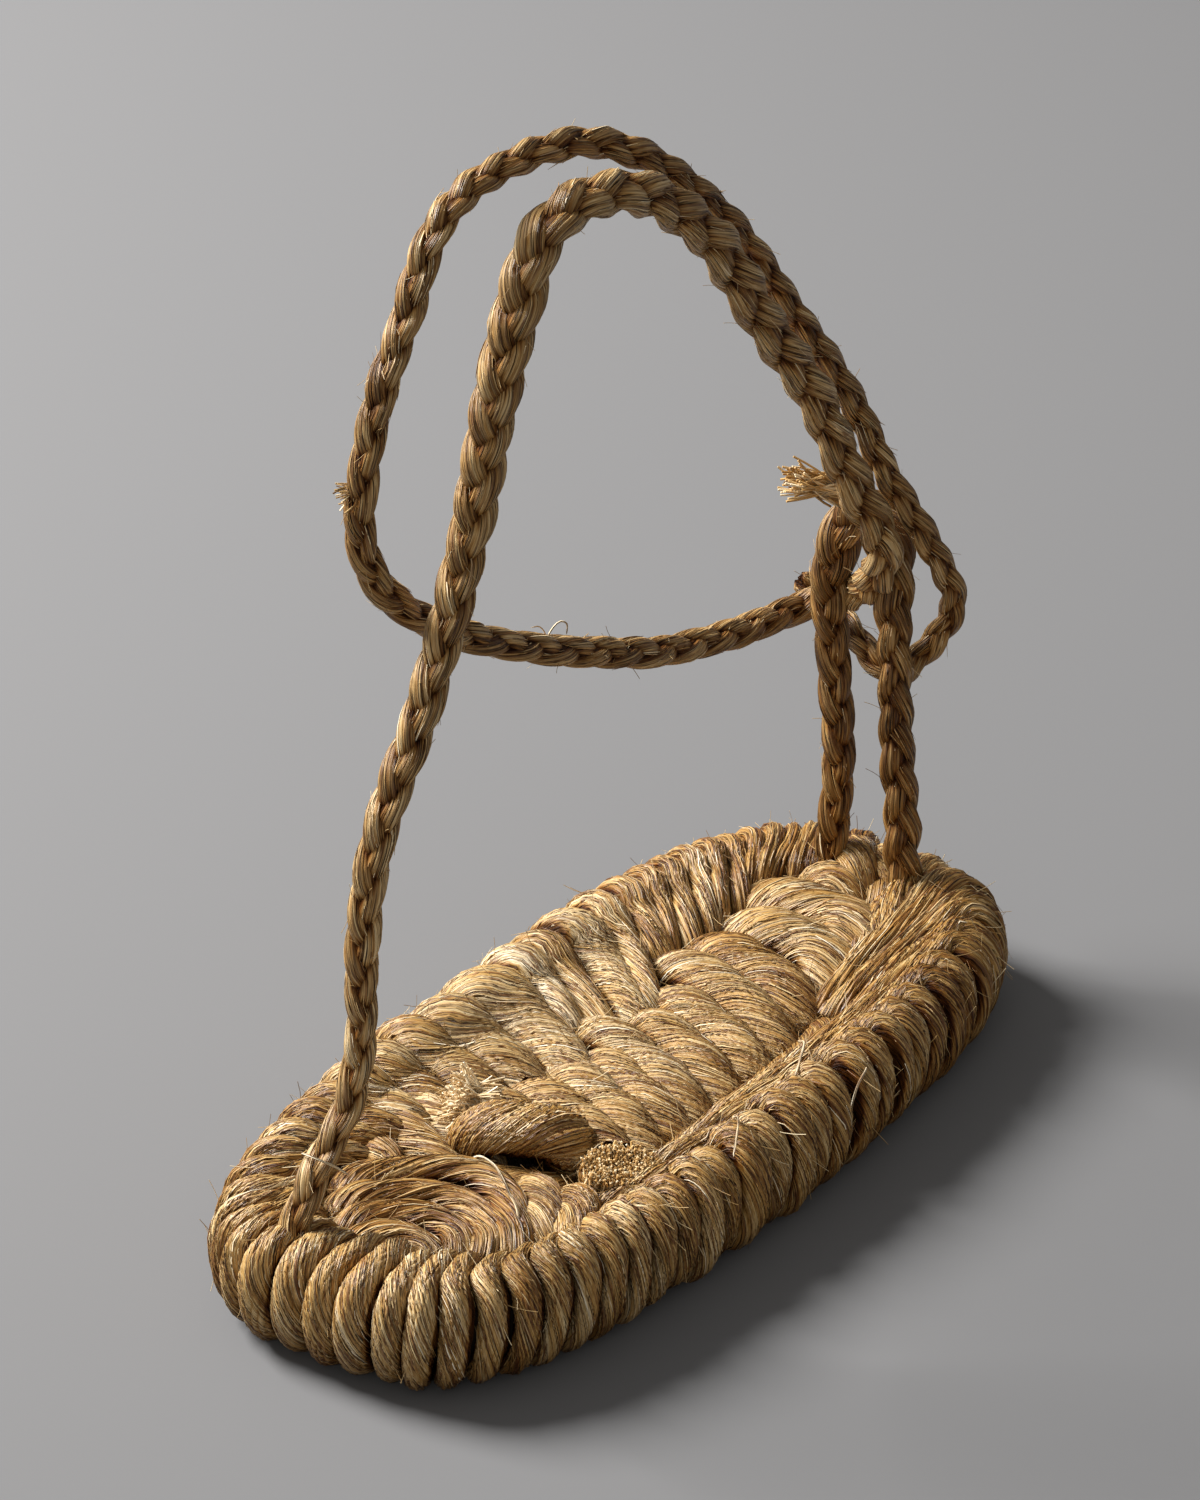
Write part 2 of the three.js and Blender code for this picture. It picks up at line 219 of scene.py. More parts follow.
class Straw:
    """Gathers strands of straw into one mesh with the fibres' coordinates on its points."""

    def __init__(self):
        self.points, self.faces, self.count = [], [], 0
        self.layers = {"fibre": [], "flow": [], "tone": [], "gap": [], "show": []}

    def strand(self, path, face, wide, thick, turn, tone=0.5, bundles=14, sides=58,
               groove=0.55, lump=0.5, floor=False, taper=(1.5, 1.5), wander=0.9, front=0.72,
               threads=0.0, painted_shade_heights=(-0.25, 0.5), core=None):
        """One twisted strand: bundles of fibres run round it once every turn millimetres.

        Its gaps get painted shade, full at and below the first of the shade heights and none from
        the second on, by height over the strand's middle, or by distance from the core where one
        is given.
        """
        n = len(path)
        s = run_of(path)
        forward, broad, up = axes_along(path, face)
        wide = np.broadcast_to(wide, (n,)).astype(float)
        thick = np.broadcast_to(thick, (n,)).astype(float)
        for end, size in ((s, taper[0]), (s[-1] - s, taper[1])):
            close = np.clip(end / max(size, 1e-6), 0, 1)
            shape = np.sqrt(np.clip(1 - (1 - close) ** 2, 0.0, 1))
            wide, thick = wide * (0.04 + 0.96 * shape), thick * (0.04 + 0.96 * shape)
        theta = even_round(sides, front)
        swell = rng.random((6, NOISE_COLUMNS))
        along = s[:, None] / NOISE_RUN + rng.random() * 30
        bulge = 1 + 0.16 * (lattice_noise(swell, theta / np.pi * 3, along * 1.3) - 0.5)
        phi = theta - (s[:, None] / turn) * 2 * np.pi + rng.random() * 2 * np.pi
        table = rng.random((bundles, NOISE_COLUMNS))
        other = rng.random((bundles, NOISE_COLUMNS))
        ring = phi / (2 * np.pi) * bundles
        ring = ring + (lattice_noise(other, ring * 0.5, along) - 0.5) * wander
        cell = np.floor(ring)
        part = ring - cell
        crown = np.sqrt(np.clip(1 - (2 * part - 1) ** 2, 0, 1))
        height = lattice_noise(table, cell, along * 1.4)
        offset = groove * (crown - 1) * (0.5 + height) + lump * (height - 0.5)
        offset = offset * np.minimum(1, thick[:, None] / 3)
        c, d = np.cos(theta), np.sin(theta)
        place = (path[:, None, :]
                 + broad[:, None, :] * ((wide[:, None] * bulge + offset) * c)[..., None]
                 + up[:, None, :] * ((thick[:, None] * bulge + offset) * d)[..., None])
        if floor:  # pressed flat where it would sink in
            low = place[..., 2]
            place[..., 2] = np.where(low < 1.2, 0.02 + 0.3 * np.clip(low + 2.8, 0, 4), low)
        radius = 0.5 * (wide + thick)[:, None]
        fibre = np.stack([radius * np.cos(phi), radius * np.sin(phi),
                          s[:, None] + 0 * phi + rng.random() * 900], axis=-1)
        slope = 2 * np.pi * radius / turn
        sideways = (-broad[:, None, :] * d[..., None] + up[:, None, :] * c[..., None])
        flow = unit(forward[:, None, :] + sideways * slope[..., None])
        local = tone + 0.24 * (lattice_noise(other, cell, along * 0.4) - 0.5)
        if core is None:
            out = d
        else:
            out = np.linalg.norm(place - core[0][:, None, :], axis=2) / core[1][:, None]
        # Painted shade: colour and gloss darken low in the gaps between strands and bundles.
        rise = np.clip((out - painted_shade_heights[0]) / (painted_shade_heights[1] - painted_shade_heights[0]), 0, 1)
        gap = (0.32 + 0.68 * crown) * (0.12 + 0.88 * rise * rise * (3 - 2 * rise))
        show = np.where((d > 0.25) & (place[..., 2] > BARE_BELOW), 1.0, 0.0)
        self.add_tube(place, fibre=fibre, flow=flow, tone=local, gap=gap, show=show)
        if threads:
            self.lay_threads(place, path, theta[0], s, turn, int(threads * s[-1]), tone)

    def lay_threads(self, place, path, theta, s, turn, count, tone):
        """Single straws that lie on a strand with its twist, their ends peeling off a little."""
        length = np.minimum(rng.uniform(6, 20, count), s[-1] * 0.5)
        start = 1.5 + rng.random(count) * (s[-1] - length - 3)
        middle = rng.uniform(0.06, 0.94, count) * np.pi
        peel = np.minimum(rng.exponential(0.32, (count, 2)), 1.4)
        thick = rng.uniform(0.07, 0.18, count)
        drift = rng.normal(0, 0.16, count)
        shade = np.clip(rng.normal(tone + 0.1, 0.2, count), 0, 1)
        t = np.linspace(0, 1, 6)
        for k in range(count):
            at = start[k] + length[k] * t
            angle = middle[k] + 2 * np.pi * (at - at.mean()) / turn + drift[k] * (t - 0.5)
            angle = np.mod(angle - OUTER_START, 2 * np.pi) + OUTER_START
            if angle.max() > OUTER_END:
                continue
            row = np.interp(at, s, np.arange(len(s)))
            column = np.interp(angle, theta, np.arange(len(theta)))
            i, j = row.astype(int).clip(0, len(s) - 2), column.astype(int).clip(0, len(theta) - 2)
            f, g = (row - i)[:, None], (column - j)[:, None]
            spot = ((place[i, j] * (1 - f) + place[i + 1, j] * f) * (1 - g)
                    + (place[i, j + 1] * (1 - f) + place[i + 1, j + 1] * f) * g)
            if spot[:, 2].min() < 3:
                continue
            inner = path[i] * (1 - f) + path[i + 1] * f
            away = unit(spot - inner)
            lift = (thick[k] * 0.6 + peel[k, 0] * np.clip(1 - t / 0.3, 0, 1) ** 2
                    + peel[k, 1] * np.clip((t - 0.7) / 0.3, 0, 1) ** 2)
            spot = spot + away * lift[:, None]
            forward = unit(np.gradient(spot, axis=0))
            side = np.cross(forward, away)
            size = thick[k] * (1 - 0.65 * np.abs(2 * t - 1) ** 5)
            rings = np.stack([spot + size[:, None] * (math.cos(a) * side + math.sin(a) * away)
                              for a in (0.52, 2.62, 4.71)], axis=1)
            lead = rng.random(3) * 800
            fibre = lead + at[:, None, None] * np.array([0, 0, 0.3])
            self.add_tube(rings, fibre=fibre, flow=forward[:, None, :], tone=shade[k], gap=0.9,
                          show=0.0)

    def add_tube(self, place, **layers):
        """Rings of points as a closed tube, with a value of each layer for every point."""
        n, m = place.shape[:2]
        index = self.count + np.arange(n * m).reshape(n, m)
        a, b = index[:-1], index[1:]
        quads = np.stack([a, np.roll(a, -1, 1), np.roll(b, -1, 1), b], axis=-1).reshape(-1, 4)
        self.faces.append(quads)
        self.points.append(place.reshape(-1, 3))
        self.points.append(np.stack([place[0].mean(0), place[-1].mean(0)]))
        for label, values in layers.items():
            shape = (n, m, 3) if label in ("fibre", "flow") else (n, m)
            values = np.broadcast_to(values, shape)
            ends = np.stack([values[0].mean(0), values[-1].mean(0)])
            self.layers[label] += [values.reshape(n * m, -1), ends.reshape(2, -1)]
        for hub, loop in ((n * m, index[0][::-1]), (n * m + 1, index[-1])):
            hub = np.full(m, self.count + hub)
            self.faces.append(np.stack([loop, np.roll(loop, -1), hub, hub], axis=-1))
        self.count += n * m + 2

    def piece(self, name, material):
        """The gathered strands as one object of the scene."""
        points = np.vstack(self.points) * MM
        quads = np.vstack(self.faces)
        mesh = bpy.data.meshes.new(name)
        is_tri = quads[:, 2] == quads[:, 3]
        loops = np.concatenate([quads[~is_tri].reshape(-1), quads[is_tri][:, :3].reshape(-1)])
        sizes = np.concatenate([np.full((~is_tri).sum(), 4), np.full(is_tri.sum(), 3)])
        starts = np.concatenate([[0], np.cumsum(sizes)[:-1]])
        mesh.vertices.add(len(points))
        mesh.vertices.foreach_set("co", points.reshape(-1))
        mesh.loops.add(len(loops))
        mesh.loops.foreach_set("vertex_index", loops.astype(np.int32))
        mesh.polygons.add(len(sizes))
        mesh.polygons.foreach_set("loop_start", starts.astype(np.int32))
        mesh.polygons.foreach_set("use_smooth", np.ones(len(sizes), bool))
        mesh.update(calc_edges=True)
        mesh.validate()
        self.layers["stain"] = [stain_at(points / MM)[:, None]]
        for label, values in self.layers.items():
            values = np.vstack(values)
            kind, field = ("FLOAT_VECTOR", "vector") if values.shape[1] == 3 else ("FLOAT", "value")
            layer = mesh.attributes.new(label, kind, "POINT")
            layer.data.foreach_set(field, np.ascontiguousarray(values, np.float32).reshape(-1))
        mesh.materials.append(material)
        return in_scene(name, mesh)


# ---- materials
STAIN_BROWN, STAIN_SHARE = (0.56, 0.29, 0.05), 0.62
DARKER_UP_TO = 0.013  # metres over the floor
GLOSS = 0.525


def socket(node, name, outlet=False):
    """The live input or output of a node by name."""
    for found in node.outputs if outlet else node.inputs:
        if found.name == name and found.enabled:
            return found
    raise KeyError(name)


def feed(tree, spot, value):
    """Link a node's input to another's output, or set it to a colour or a value."""
    if isinstance(value, bpy.types.NodeSocket):
        tree.links.new(value, spot)
    else:
        spot.default_value = (*value, 1) if isinstance(value, tuple) else value


def add_node(tree, kind, inputs, **settings):
    """A node with its settings made first, then its inputs by name or by place."""
    made = tree.nodes.new(kind)
    for label, value in settings.items():
        setattr(made, label, value)
    for label, value in inputs.items():
        feed(tree, made.inputs[label] if isinstance(label, int) else socket(made, label), value)
    return made


class Finish:
    """A node material being put together."""

    def __init__(self, name):
        self.material = bpy.data.materials.new(name)
        self.material.use_nodes = True
        self.tree = self.material.node_tree
        self.shader = self.tree.nodes["Principled BSDF"]

    def node(self, kind, inputs, **settings):
        return add_node(self.tree, kind, inputs, **settings)

    def attribute(self, name, outlet="Fac"):
        return self.node("ShaderNodeAttribute", {}, attribute_name=name).outputs[outlet]

    def maths(self, kind, *values, clamp=False):
        inputs = dict(enumerate(values))
        return self.node("ShaderNodeMath", inputs, operation=kind, use_clamp=clamp).outputs[0]

    def streaks(self, across, along, detail=2.0):
        """Noise drawn out along the fibres, sizes in millimetres."""
        mapping = self.node("ShaderNodeMapping", {"Vector": self.attribute("fibre", "Vector")})
        mapping.inputs["Scale"].default_value = (1 / across, 1 / across, 1 / along)
        noise = self.node("ShaderNodeTexNoise", {
            "Vector": mapping.outputs[0], "Scale": 1.0, "Detail": detail, "Roughness": 0.55})
        return noise.outputs["Fac"]

    def ramp(self, factor, stops):
        made = self.node("ShaderNodeValToRGB", {})
        elements = made.color_ramp.elements
        elements[0].position, elements[0].color = stops[0][0], (*stops[0][1], 1)
        elements[1].position, elements[1].color = stops[-1][0], (*stops[-1][1], 1)
        for place, colour in stops[1:-1]:
            elements.new(place).color = (*colour, 1)
        feed(self.tree, made.inputs["Fac"], factor)
        return made.outputs["Color"]

    def blend(self, kind, first, second, factor=1.0):
        inputs = {"Factor": factor, "A": first, "B": second}
        made = self.node("ShaderNodeMix", inputs, data_type="RGBA", blend_type=kind)
        return made.outputs["Result"]

    def bump(self, height, distance, strength, **below):
        inputs = {"Strength": strength, "Distance": distance, "Height": height, **below}
        return self.node("ShaderNodeBump", inputs).outputs[0]

    def painted(self, inputs):
        """The material, once the shader's inputs are fed."""
        for label, value in inputs.items():
            feed(self.tree, self.shader.inputs[label], value)
        return self.material


def straw_finish(name, stops, fine=0.42, rough=0.44, lines=1.0):
    """Straw: streaks run along the fibres, with dark lines where bundles of them meet."""
    finish = Finish(name)
    hairs = finish.streaks(fine, 15.0)
    wisps = finish.streaks(fine * 3.0, 26.0)
    patches = finish.streaks(8.0, 30.0, 1.0)
    seams = finish.streaks(fine * 2.2, 22.0, 1.0)
    fine_seams = finish.streaks(fine * 1.2, 12.0, 0.0)
    mix = finish.maths("MULTIPLY_ADD", hairs, 1.1, -0.55)
    for noise, weight in ((wisps, 0.55), (patches, 0.4)):
        part = finish.maths("MULTIPLY_ADD", noise, weight, -weight / 2)
        mix = finish.maths("ADD", mix, part)
    mix = finish.maths("ADD", mix, finish.attribute("tone"))
    colour = finish.ramp(mix, stops)
    stained = finish.maths("MULTIPLY", finish.attribute("stain"), STAIN_SHARE)
    colour = finish.blend("MIX", colour, STAIN_BROWN, stained)
    # Painted shade: the colour darkens in the gaps between strands and bundles.
    depth = finish.ramp(finish.attribute("gap"), [
        (0.04, (0.022, 0.009, 0.002)), (0.25, (0.25, 0.13, 0.045)), (0.5, (0.74, 0.60, 0.41)),
        (0.8, (1, 1, 1))])
    colour = finish.blend("MULTIPLY", colour, depth)
    seam = finish.maths("ABSOLUTE", finish.maths("SUBTRACT", seams, 0.5))
    fine_seam = finish.maths("ABSOLUTE", finish.maths("SUBTRACT", fine_seams, 0.5))
    dark_line = finish.ramp(seam, [(0.012, (0.26, 0.115, 0.025)), (0.055, (1, 1, 1))])
    thin_line = finish.ramp(fine_seam, [(0.01, (0.46, 0.29, 0.11)), (0.07, (1, 1, 1))])
    colour = finish.blend("MULTIPLY", colour, dark_line, 0.85 * lines)
    colour = finish.blend("MULTIPLY", colour, thin_line, 0.6 * lines)
    # The colour darkens towards the bottom, over the lowest 13 millimetres above the floor.
    place = finish.node("ShaderNodeTexCoord", {}).outputs["Object"]
    height = finish.node("ShaderNodeSeparateXYZ", {0: place}).outputs["Z"]
    low_darkening = finish.maths("MULTIPLY", height, 1 / DARKER_UP_TO, clamp=True)
    low_darkening = finish.ramp(low_darkening, [(0.0, (0.40, 0.30, 0.20)), (1.0, (1, 1, 1))])
    colour = finish.blend("MULTIPLY", colour, low_darkening)
    ridge = finish.maths("MINIMUM", finish.maths("MULTIPLY", seam, 6.0), 0.5)
    deep = finish.bump(finish.maths("ADD", ridge, wisps), 0.0010, 0.9)
    # The gloss is dimmed in the gaps by the same painted shade.
    return finish.painted({
        "Base Color": colour, "Roughness": rough,
        "Normal": finish.bump(hairs, 0.0008, 1.0, Normal=deep),
        "Specular IOR Level": finish.maths("MULTIPLY", finish.attribute("gap"), GLOSS)})


sole_straw = straw_finish("sole_straw", [
    (0.0, (0.085, 0.025, 0.002)), (0.26, (0.28, 0.125, 0.02)), (0.48, (0.53, 0.32, 0.098)),
    (0.7, (0.74, 0.555, 0.285)), (1.0, (0.96, 0.87, 0.68))])
cord_straw = straw_finish("cord_straw", [
    (0.0, (0.07, 0.026, 0.004)), (0.28, (0.25, 0.125, 0.032)), (0.5, (0.50, 0.31, 0.115)),
    (0.74, (0.74, 0.54, 0.27)), (1.0, (0.96, 0.84, 0.60))], fine=0.36, lines=0.8)
pale_straw = straw_finish("pale_straw", [
    (0.0, (0.26, 0.15, 0.06)), (0.4, (0.55, 0.40, 0.21)), (0.7, (0.80, 0.66, 0.43)),
    (1.0, (0.97, 0.90, 0.72))], fine=0.34)
# Painted shadow: the sole's inside is near black where it shows between the wefts.
painted_shadow_core = straw_finish("painted_shadow_core", [
    (0.0, (0.012, 0.006, 0.002)), (1.0, (0.06, 0.03, 0.012))], rough=0.8)


def loose_finish(name, stops):
    """Single loose fibres: one shade each."""
    finish = Finish(name)
    colour = finish.ramp(finish.attribute("tone"), stops)
    return finish.painted({"Base Color": colour, "Roughness": 0.5, "Specular IOR Level": 0.3})


loose_straw = loose_finish("loose_straw", [
    (0.0, (0.16, 0.08, 0.025)), (0.3, (0.36, 0.22, 0.08)), (0.7, (0.62, 0.44, 0.21)),
    (1.0, (0.90, 0.76, 0.50))])
cut_straw = loose_finish("cut_straw", [
    (0.0, (0.34, 0.18, 0.05)), (0.4, (0.60, 0.38, 0.145)), (0.8, (0.84, 0.63, 0.34)),
    (1.0, (0.96, 0.85, 0.61))])
creamy_straw = loose_finish("creamy_straw", [
    (0.0, (0.44, 0.28, 0.11)), (0.35, (0.70, 0.51, 0.28)), (0.75, (0.88, 0.72, 0.47)),
    (1.0, (0.97, 0.87, 0.67))])


# ---- loose fibres
def fibre_tree(name, material):
    """Nodes that strew bent fibres over a host, lying along its flow."""
    tree = bpy.data.node_groups.new(name, "GeometryNodeTree")
    face = tree.interface
    face.new_socket("Geometry", in_out="INPUT", socket_type="NodeSocketGeometry")
    for label in ("Density", "Length", "Thickness", "Arch", "Lean", "Swing", "Lift"):
        face.new_socket(label, in_out="INPUT", socket_type="NodeSocketFloat")
    for label in ("Segments", "Seed"):
        face.new_socket(label, in_out="INPUT", socket_type="NodeSocketInt")
    face.new_socket("Geometry", in_out="OUTPUT", socket_type="NodeSocketGeometry")
    given, out = tree.nodes.new("NodeGroupInput").outputs, tree.nodes.new("NodeGroupOutput")

    def add(kind, inputs, **settings):
        return add_node(tree, kind, inputs, **settings)

    def maths(kind, first, second):
        return add("ShaderNodeMath", {0: first, 1: second}, operation=kind).outputs[0]

    def chance(low, high, step):
        """A random number of its own for each fibre."""
        drawn = {"Min": low, "Max": high, "Seed": maths("ADD", given["Seed"], step)}
        return socket(add("FunctionNodeRandomValue", drawn, data_type="FLOAT"), "Value", True)

    def vector(*parts):
        return add("ShaderNodeCombineXYZ", dict(enumerate(parts))).outputs[0]

    def stored(name, kind):
        read = add("GeometryNodeInputNamedAttribute", {"Name": name}, data_type=kind)
        return socket(read, "Attribute", True)

    strew = add("GeometryNodeDistributePointsOnFaces", {
        "Mesh": given["Geometry"], "Seed": given["Seed"],
        "Density": maths("MULTIPLY", given["Density"], stored("show", "FLOAT"))})
    normal = strew.outputs["Normal"]
    raised = add("ShaderNodeVectorMath", {0: normal, "Scale": given["Lift"]}, operation="SCALE")
    lifted = add("GeometryNodeSetPosition", {
        "Geometry": strew.outputs["Points"], "Offset": raised.outputs[0]})
    along = add("FunctionNodeAlignRotationToVector", {
        "Vector": stored("flow", "FLOAT_VECTOR")}, axis="Z")
    stood = add("FunctionNodeAlignRotationToVector", {
        "Rotation": along.outputs[0], "Vector": normal}, axis="X", pivot_axis="Z")
    lean, swing = given["Lean"], given["Swing"]
    sway = add("FunctionNodeEulerToRotation", {0: vector(
        chance(maths("MULTIPLY", swing, -1), swing, 3),
        chance(maths("MULTIPLY", lean, -1), lean, 5), 0.0)})
    turned = add("FunctionNodeRotateRotation", {0: stood.outputs[0], 1: sway.outputs[0]},
                 rotation_space="LOCAL")
    half = maths("MULTIPLY", given["Length"], 0.5)
    bow = add("GeometryNodeCurveQuadraticBezier", {
        "Resolution": given["Segments"], "Start": vector(0.0, 0.0, maths("MULTIPLY", half, -1)),
        "Middle": vector(given["Arch"], 0.0, 0.0), "End": vector(0.0, 0.0, half)})
    ring = add("GeometryNodeCurvePrimitiveCircle", {
        "Resolution": 3, "Radius": given["Thickness"]})
    tube = add("GeometryNodeCurveToMesh", {
        "Curve": bow.outputs[0], "Profile Curve": ring.outputs[0], "Fill Caps": True})
    size = chance(0.45, 1.5, 7)
    place = add("GeometryNodeInstanceOnPoints", {
        "Points": lifted.outputs[0], "Instance": tube.outputs[0],
        "Rotation": turned.outputs[0], "Scale": vector(size, size, size)})
    shade = add("GeometryNodeStoreNamedAttribute", {
        "Geometry": place.outputs[0], "Name": "tone", "Value": chance(0.0, 1.0, 11)},
        data_type="FLOAT", domain="INSTANCE")
    real = add("GeometryNodeRealizeInstances", {0: shade.outputs[0]})
    coat = add("GeometryNodeSetMaterial", {"Geometry": real.outputs[0], "Material": material})
    tree.links.new(coat.outputs[0], out.inputs[0])
    return tree


def strew_fibres(host, name, tree, **sizes):
    """Grow the loose fibres of a host and keep them as a plain mesh of their own."""
    carrier = in_scene(name + "_host", host.data.copy())
    strewn = carrier.modifiers.new("fibres", "NODES")
    strewn.node_group = tree
    for item in tree.interface.items_tree:
        if item.item_type == "SOCKET" and item.in_out == "INPUT" and item.name in sizes:
            strewn[item.identifier] = sizes[item.name]
    view = bpy.context.evaluated_depsgraph_get()
    view.update()
    mesh = bpy.data.meshes.new_from_object(carrier.evaluated_get(view))
    carrier.modifiers.remove(strewn)
    bpy.data.objects.remove(carrier)
    for polygon in mesh.polygons:
        polygon.use_smooth = True
    return in_scene(name, mesh)


# ---- rim wefts
# Each weft that wraps the rim: distance round from the toe tip (right side first, left side
# negative), inner end x and y, slip along the rim on its way down, fatness, bend of its top,
# millimetres for one turn of its twist, tone.
RIM_WEFTS = [
    (-296, -4, 105, 0, 1.0, 0, 60, 0.42), (-287, -12, 98, 0, 1.0, 0, 110, 0.45),
    (-280.5, -16, 94.5, 0, 1.0, 0, 130, 0.4), (-274, -18.5, 91.5, 0, 0.95, 0, 120, 0.46),
    (-267, -20.5, 87.5, 0, 1.0, 0, 110, 0.5), (-260, -20.5, 82.5, 0, 1.0, 0, 120, 0.52),
    (-252.5, -19, 77, 1, 1.0, 0, 110, 0.5), (-245.5, -17.5, 71, 1, 0.95, 0, 130, 0.56),
    (-238, -17, 64.5, 1, 1.0, 0, 120, 0.54), (-230.5, -17, 57.5, 2, 1.0, 0, 110, 0.55),
    (-223.5, -19, 51.5, 2, 0.95, 0, 130, 0.57), (-215, -21, 47, 2, 1.0, 0, 110, 0.55),
    (-205.5, -9, 26, 3, 0.95, 1.5, 60, 0.6), (-194.5, -6, 19.5, 4, 1.22, 1.5, 44, 0.58),
    (-182.5, -13, 15, 4, 0.9, 1, 130, 0.54), (-173, -18, 10.5, 4, 0.95, 1, 60, 0.6),
    (-159.5, -1, -11, 4, 1.15, 4, 42, 0.6), (-143, -10, -18, 4, 1.1, 2.5, 42, 0.58),
    (-129.5, -15, -26, 3, 1.0, 1, 44, 0.56), (-118, -21, -36, 2, 0.95, 0, 46, 0.52),
    (-107.5, -22, -44, 2, 1.0, -1, 60, 0.5), (-97.5, -22, -51, 1, 1.0, -1, 70, 0.48),
    (-88, -23, -57, 0, 1.0, -2, 75, 0.46), (-78.5, -23.5, -63, 0, 1.0, -2, 70, 0.48),
    (-69, -24, -69.5, 0, 1.0, -2, 65, 0.46), (-59.5, -24, -76.5, 0, 1.0, -2, 60, 0.45),
    (-50.5, -23, -84.5, 0, 1.0, -1, 55, 0.47), (-42.5, -20.5, -90, 0, 1.0, 0, 50, 0.44),
    (-34.5, -16.5, -95, 0, 1.0, 0, 48, 0.46), (-26.5, -13, -98, 0, 1.0, 0, 44, 0.45),
    (-17.5, -9.5, -99, 0, 1.0, 0, 44, 0.46), (-7.5, -4.5, -98, 0, 1.0, 0, 42, 0.44),
    (1, 0.5, -96.5, 0, 0.9, 0, 42, 0.46), (9, 6, -95, 0, 1.0, 0, 40, 0.48),
    (18.5, 11.5, -94, 0, 0.94, 0, 40, 0.46), (27.5, 17, -92, -1, 1.02, 0, 40, 0.46),
    (37, 22.5, -89, -2, 1.0, 0, 40, 0.48), (47, 27, -84.5, -3, 1.0, 0, 40, 0.46),
    (56.5, 30, -79, -3, 1.0, 0, 42, 0.46), (65.5, 32, -73.5, -4, 1.0, 0.5, 42, 0.44),
    (74.5, 33, -68, -4, 1.0, 1, 44, 0.47), (83.5, 33.5, -64, -5, 1.0, 1, 44, 0.44),
    (92, 33, -60, -5, 0.95, 1.5, 44, 0.46), (100.5, 32, -56.5, -5, 1.0, 2, 46, 0.44),
    (109, 31, -52, -5, 0.92, 2, 46, 0.47), (117, 30, -46.5, -5, 1.0, 2, 46, 0.44),
    (124.5, 29, -40.5, -5, 0.92, 2, 46, 0.46), (134.5, 28, -33.5, -6, 0.95, 2, 48, 0.48),
    (143, 27.5, -26.5, -5, 1.0, 2, 48, 0.45), (151.5, 27, -19.5, -5, 0.95, 2, 48, 0.46),
    (159.5, 26.5, -12.5, -5, 1.0, 2, 50, 0.44), (167, 26, -6, -5, 0.92, 2, 50, 0.47),
    (178.5, 26, 2, -6, 0.92, 2, 50, 0.44), (187, 26, 9, -6, 1.0, 2, 52, 0.46),
    (196, 26, 16, -6, 0.95, 2, 52, 0.44), (204.5, 26, 23, -6, 1.0, 2, 54, 0.46),
    (213, 26.5, 29.5, -6, 0.95, 1.5, 56, 0.44), (222, 27, 36.5, -6, 1.02, 1, 60, 0.46),
    (231, 27.5, 43.5, -6, 1.08, 1, 70, 0.46), (240, 28, 51, -6, 1.1, 0, 80, 0.47),
    (249.5, 27.5, 58, -6, 1.1, 0, 95, 0.46), (259, 25, 53, -5, 1.1, 0, 110, 0.48),
    (267.5, 22.5, 48, -4, 1.1, 0, 130, 0.46), (276, 20, 50, -3, 1.1, 0, 140, 0.48),
    (284.5, 18, 58, -2, 1.1, 0, 140, 0.45), (293.5, 15.5, 76, -1, 1.06, 0, 130, 0.44),
    (303, 9, 107, 0, 1.0, 0, 80, 0.42),
]
# A weft's way over the top: share of it, depth under the crests. Then its way round the edge:
# angle, share of the slip.
TOP_STEPS = [(0.08, 2.4), (0.26, 0.0), (0.5, -0.9), (0.78, -0.6)]
EDGE_STEPS = [(90, 0.0), (52, 0.2), (12, 0.5), (-30, 0.8), (-66, 1.0)]
ROOM = (4.5, 17)  # the least and most room that a weft takes up between its neighbours
HALF_THICKNESS = (2.6, 6.8)
# How the wefts differ round the rim: up to which distance, piece, half width as a share of the
# room, how much narrower below, unevenness, shade, and the heights over a weft's middle between
# which the painted shade in its gaps fades from full to none.
RIM_ZONES = [
    # Painted shade: the first row's -0.05 darkens the wefts at the back of the left side, where the
    # key light grazes them.
    (-212, "left", 0.585, 0.03, 0.3, -0.05, (-0.1, 0.5)),
    (-200, "left", 0.585, 0.03, 0.3, 0.02, (-0.1, 0.5)),
    (-64, "left", 0.565, 0.05, 0.3, 0.02, (0.12, 0.64)),
    (88, "toe", 0.55, 0.13, 0.3, 0.05, (0.12, 0.64)),
    (200, "right", 0.545, 0.07, 0.55, 0.0, (0.2, 0.74)),
    (230, "right", 0.585, 0.03, 0.55, 0.0, (-0.3, 0.4)),
    (ROUND, "right", 0.585, 0.03, 0.3, 0.0, (-0.3, 0.4)),
]


